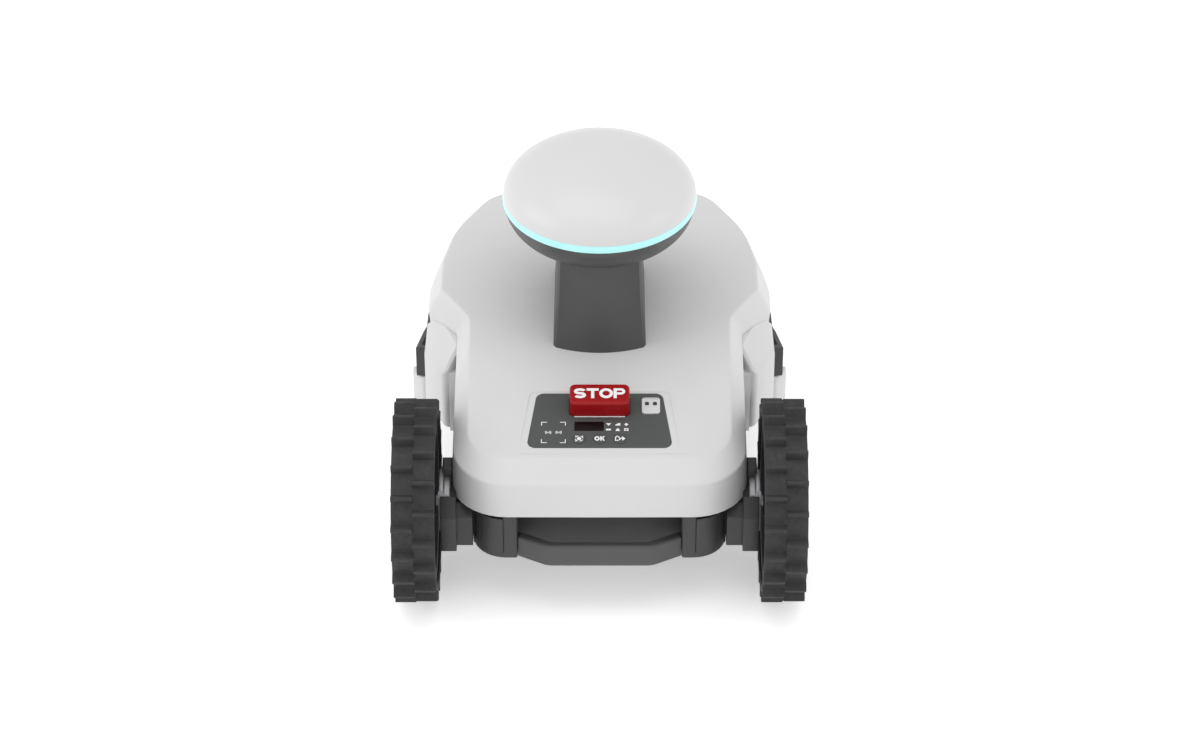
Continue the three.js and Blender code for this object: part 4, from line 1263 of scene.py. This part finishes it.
def paint_inner_nodes():
    """Hidden pieces keep their CAD shape and get a material of their own."""
    looks = {"battery_pack": BATTERY, "main_circuit_board": BOARD, "antenna_board": BOARD,
             "lead_screw": STEEL}
    for side in ("left", "right"):
        looks[f"{side}_drive_motor"] = STEEL
        looks[f"{side}_pinion"] = BRASS
        looks[f"{side}_drive_gear"] = STEEL
        looks[f"{side}_axle_shaft"] = STEEL
    for node, material in looks.items():
        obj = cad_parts[node]
        obj.data.materials.clear()
        obj.data.materials.append(material)


# ------------------------------------------------------------------ stage
FLOOR_HALF = 12
WORLD_LIGHT = 0.85
CAMERA_PLACE = (0.4, -2985, 2457.5)
CAMERA_ELEVATION = 36.3
CAMERA_LENS = 110.7


def build_floor():
    mesh = bpy.data.meshes.new("floor")
    half = FLOOR_HALF
    mesh.from_pydata([(-half, -half, 0), (half, -half, 0), (half, half, 0), (-half, half, 0)], [],
                     [(0, 1, 2, 3)])
    floor = bpy.data.objects.new("floor", mesh)
    bpy.context.scene.collection.objects.link(floor)
    material, tree, shader = node_tree("pale floor")
    tone = spread(tree, noise(tree, 3, 2), 0, 1)
    paint = blend_colours(tree, tone, (0.88, 0.88, 0.88), (0.9, 0.9, 0.9))
    tree.links.new(paint, shader.inputs["Base Color"])
    shader.inputs["Roughness"].default_value = 0.9
    shader.inputs["Specular IOR Level"].default_value = 0.1
    shader.inputs["Emission Color"].default_value = (1, 1, 1, 1)
    shader.inputs["Emission Strength"].default_value = 0.4
    mesh.materials.append(material)


def area_light(name, place, target, size, power):
    light = bpy.data.lights.new(name, "AREA")
    light.shape = "RECTANGLE"
    light.size = size[0]
    light.size_y = size[1]
    light.energy = power
    obj = bpy.data.objects.new(name, light)
    obj.location = place
    obj.rotation_euler = (Vector(target) - Vector(place)).to_track_quat("-Z", "Y").to_euler()
    bpy.context.scene.collection.objects.link(obj)


def build_lights():
    world = bpy.data.worlds.new("studio")
    world.use_nodes = True
    background = world.node_tree.nodes["Background"]
    background.inputs["Color"].default_value = (1, 1, 1, 1)
    background.inputs["Strength"].default_value = WORLD_LIGHT
    bpy.context.scene.world = world
    bpy.context.scene.view_settings.view_transform = "Standard"
    area_light("overhead", (-0.1, -0.3, 2.3), (0, 0, 0.1), (2.2, 1.5), 12)
    area_light("right_window", (2.2, -0.5, 1.3), (0, 0, 0.15), (1.4, 1.2), 7)
    area_light("left_window", (-2.2, -0.4, 1.3), (0, 0, 0.15), (1.4, 1.2), 11)


def build_camera():
    """Straight behind the robot, looking down at it."""
    camera = bpy.data.cameras.new("camera")
    camera.sensor_width = 36
    camera.lens = CAMERA_LENS
    camera.clip_end = 100
    obj = bpy.data.objects.new("camera", camera)
    obj.location = to_row(CAMERA_PLACE)
    obj.rotation_euler = (math.radians(90 - CAMERA_ELEVATION), 0, 0)
    bpy.context.scene.collection.objects.link(obj)
    bpy.context.scene.camera = obj


# ------------------------------------------------------------------ build
build_camera()
build_shell()
build_side_cover()
build_panel()
build_tag_marks()
build_status_icons()
build_keys()
build_stop_button()
build_rain_sensor()
build_antenna()
build_neck()
build_chassis()
build_handle()
build_corner_posts()
build_cutting_deck()
build_bumper()
build_tyre("left_tyre_rubber", "left_wheel", -TYRE_OUTER_X, "left_drive_tyre")
build_tyre("right_tyre_rubber", "right_wheel", TYRE_INNER_X, "right_drive_tyre")
build_rim("left", -1)
build_rim("right", 1)
build_gear_housing()
build_caster("left", -1)
build_caster("right", 1)
build_cutting_unit()
build_blades()
build_battery_cover()
paint_inner_nodes()
build_floor()
build_lights()
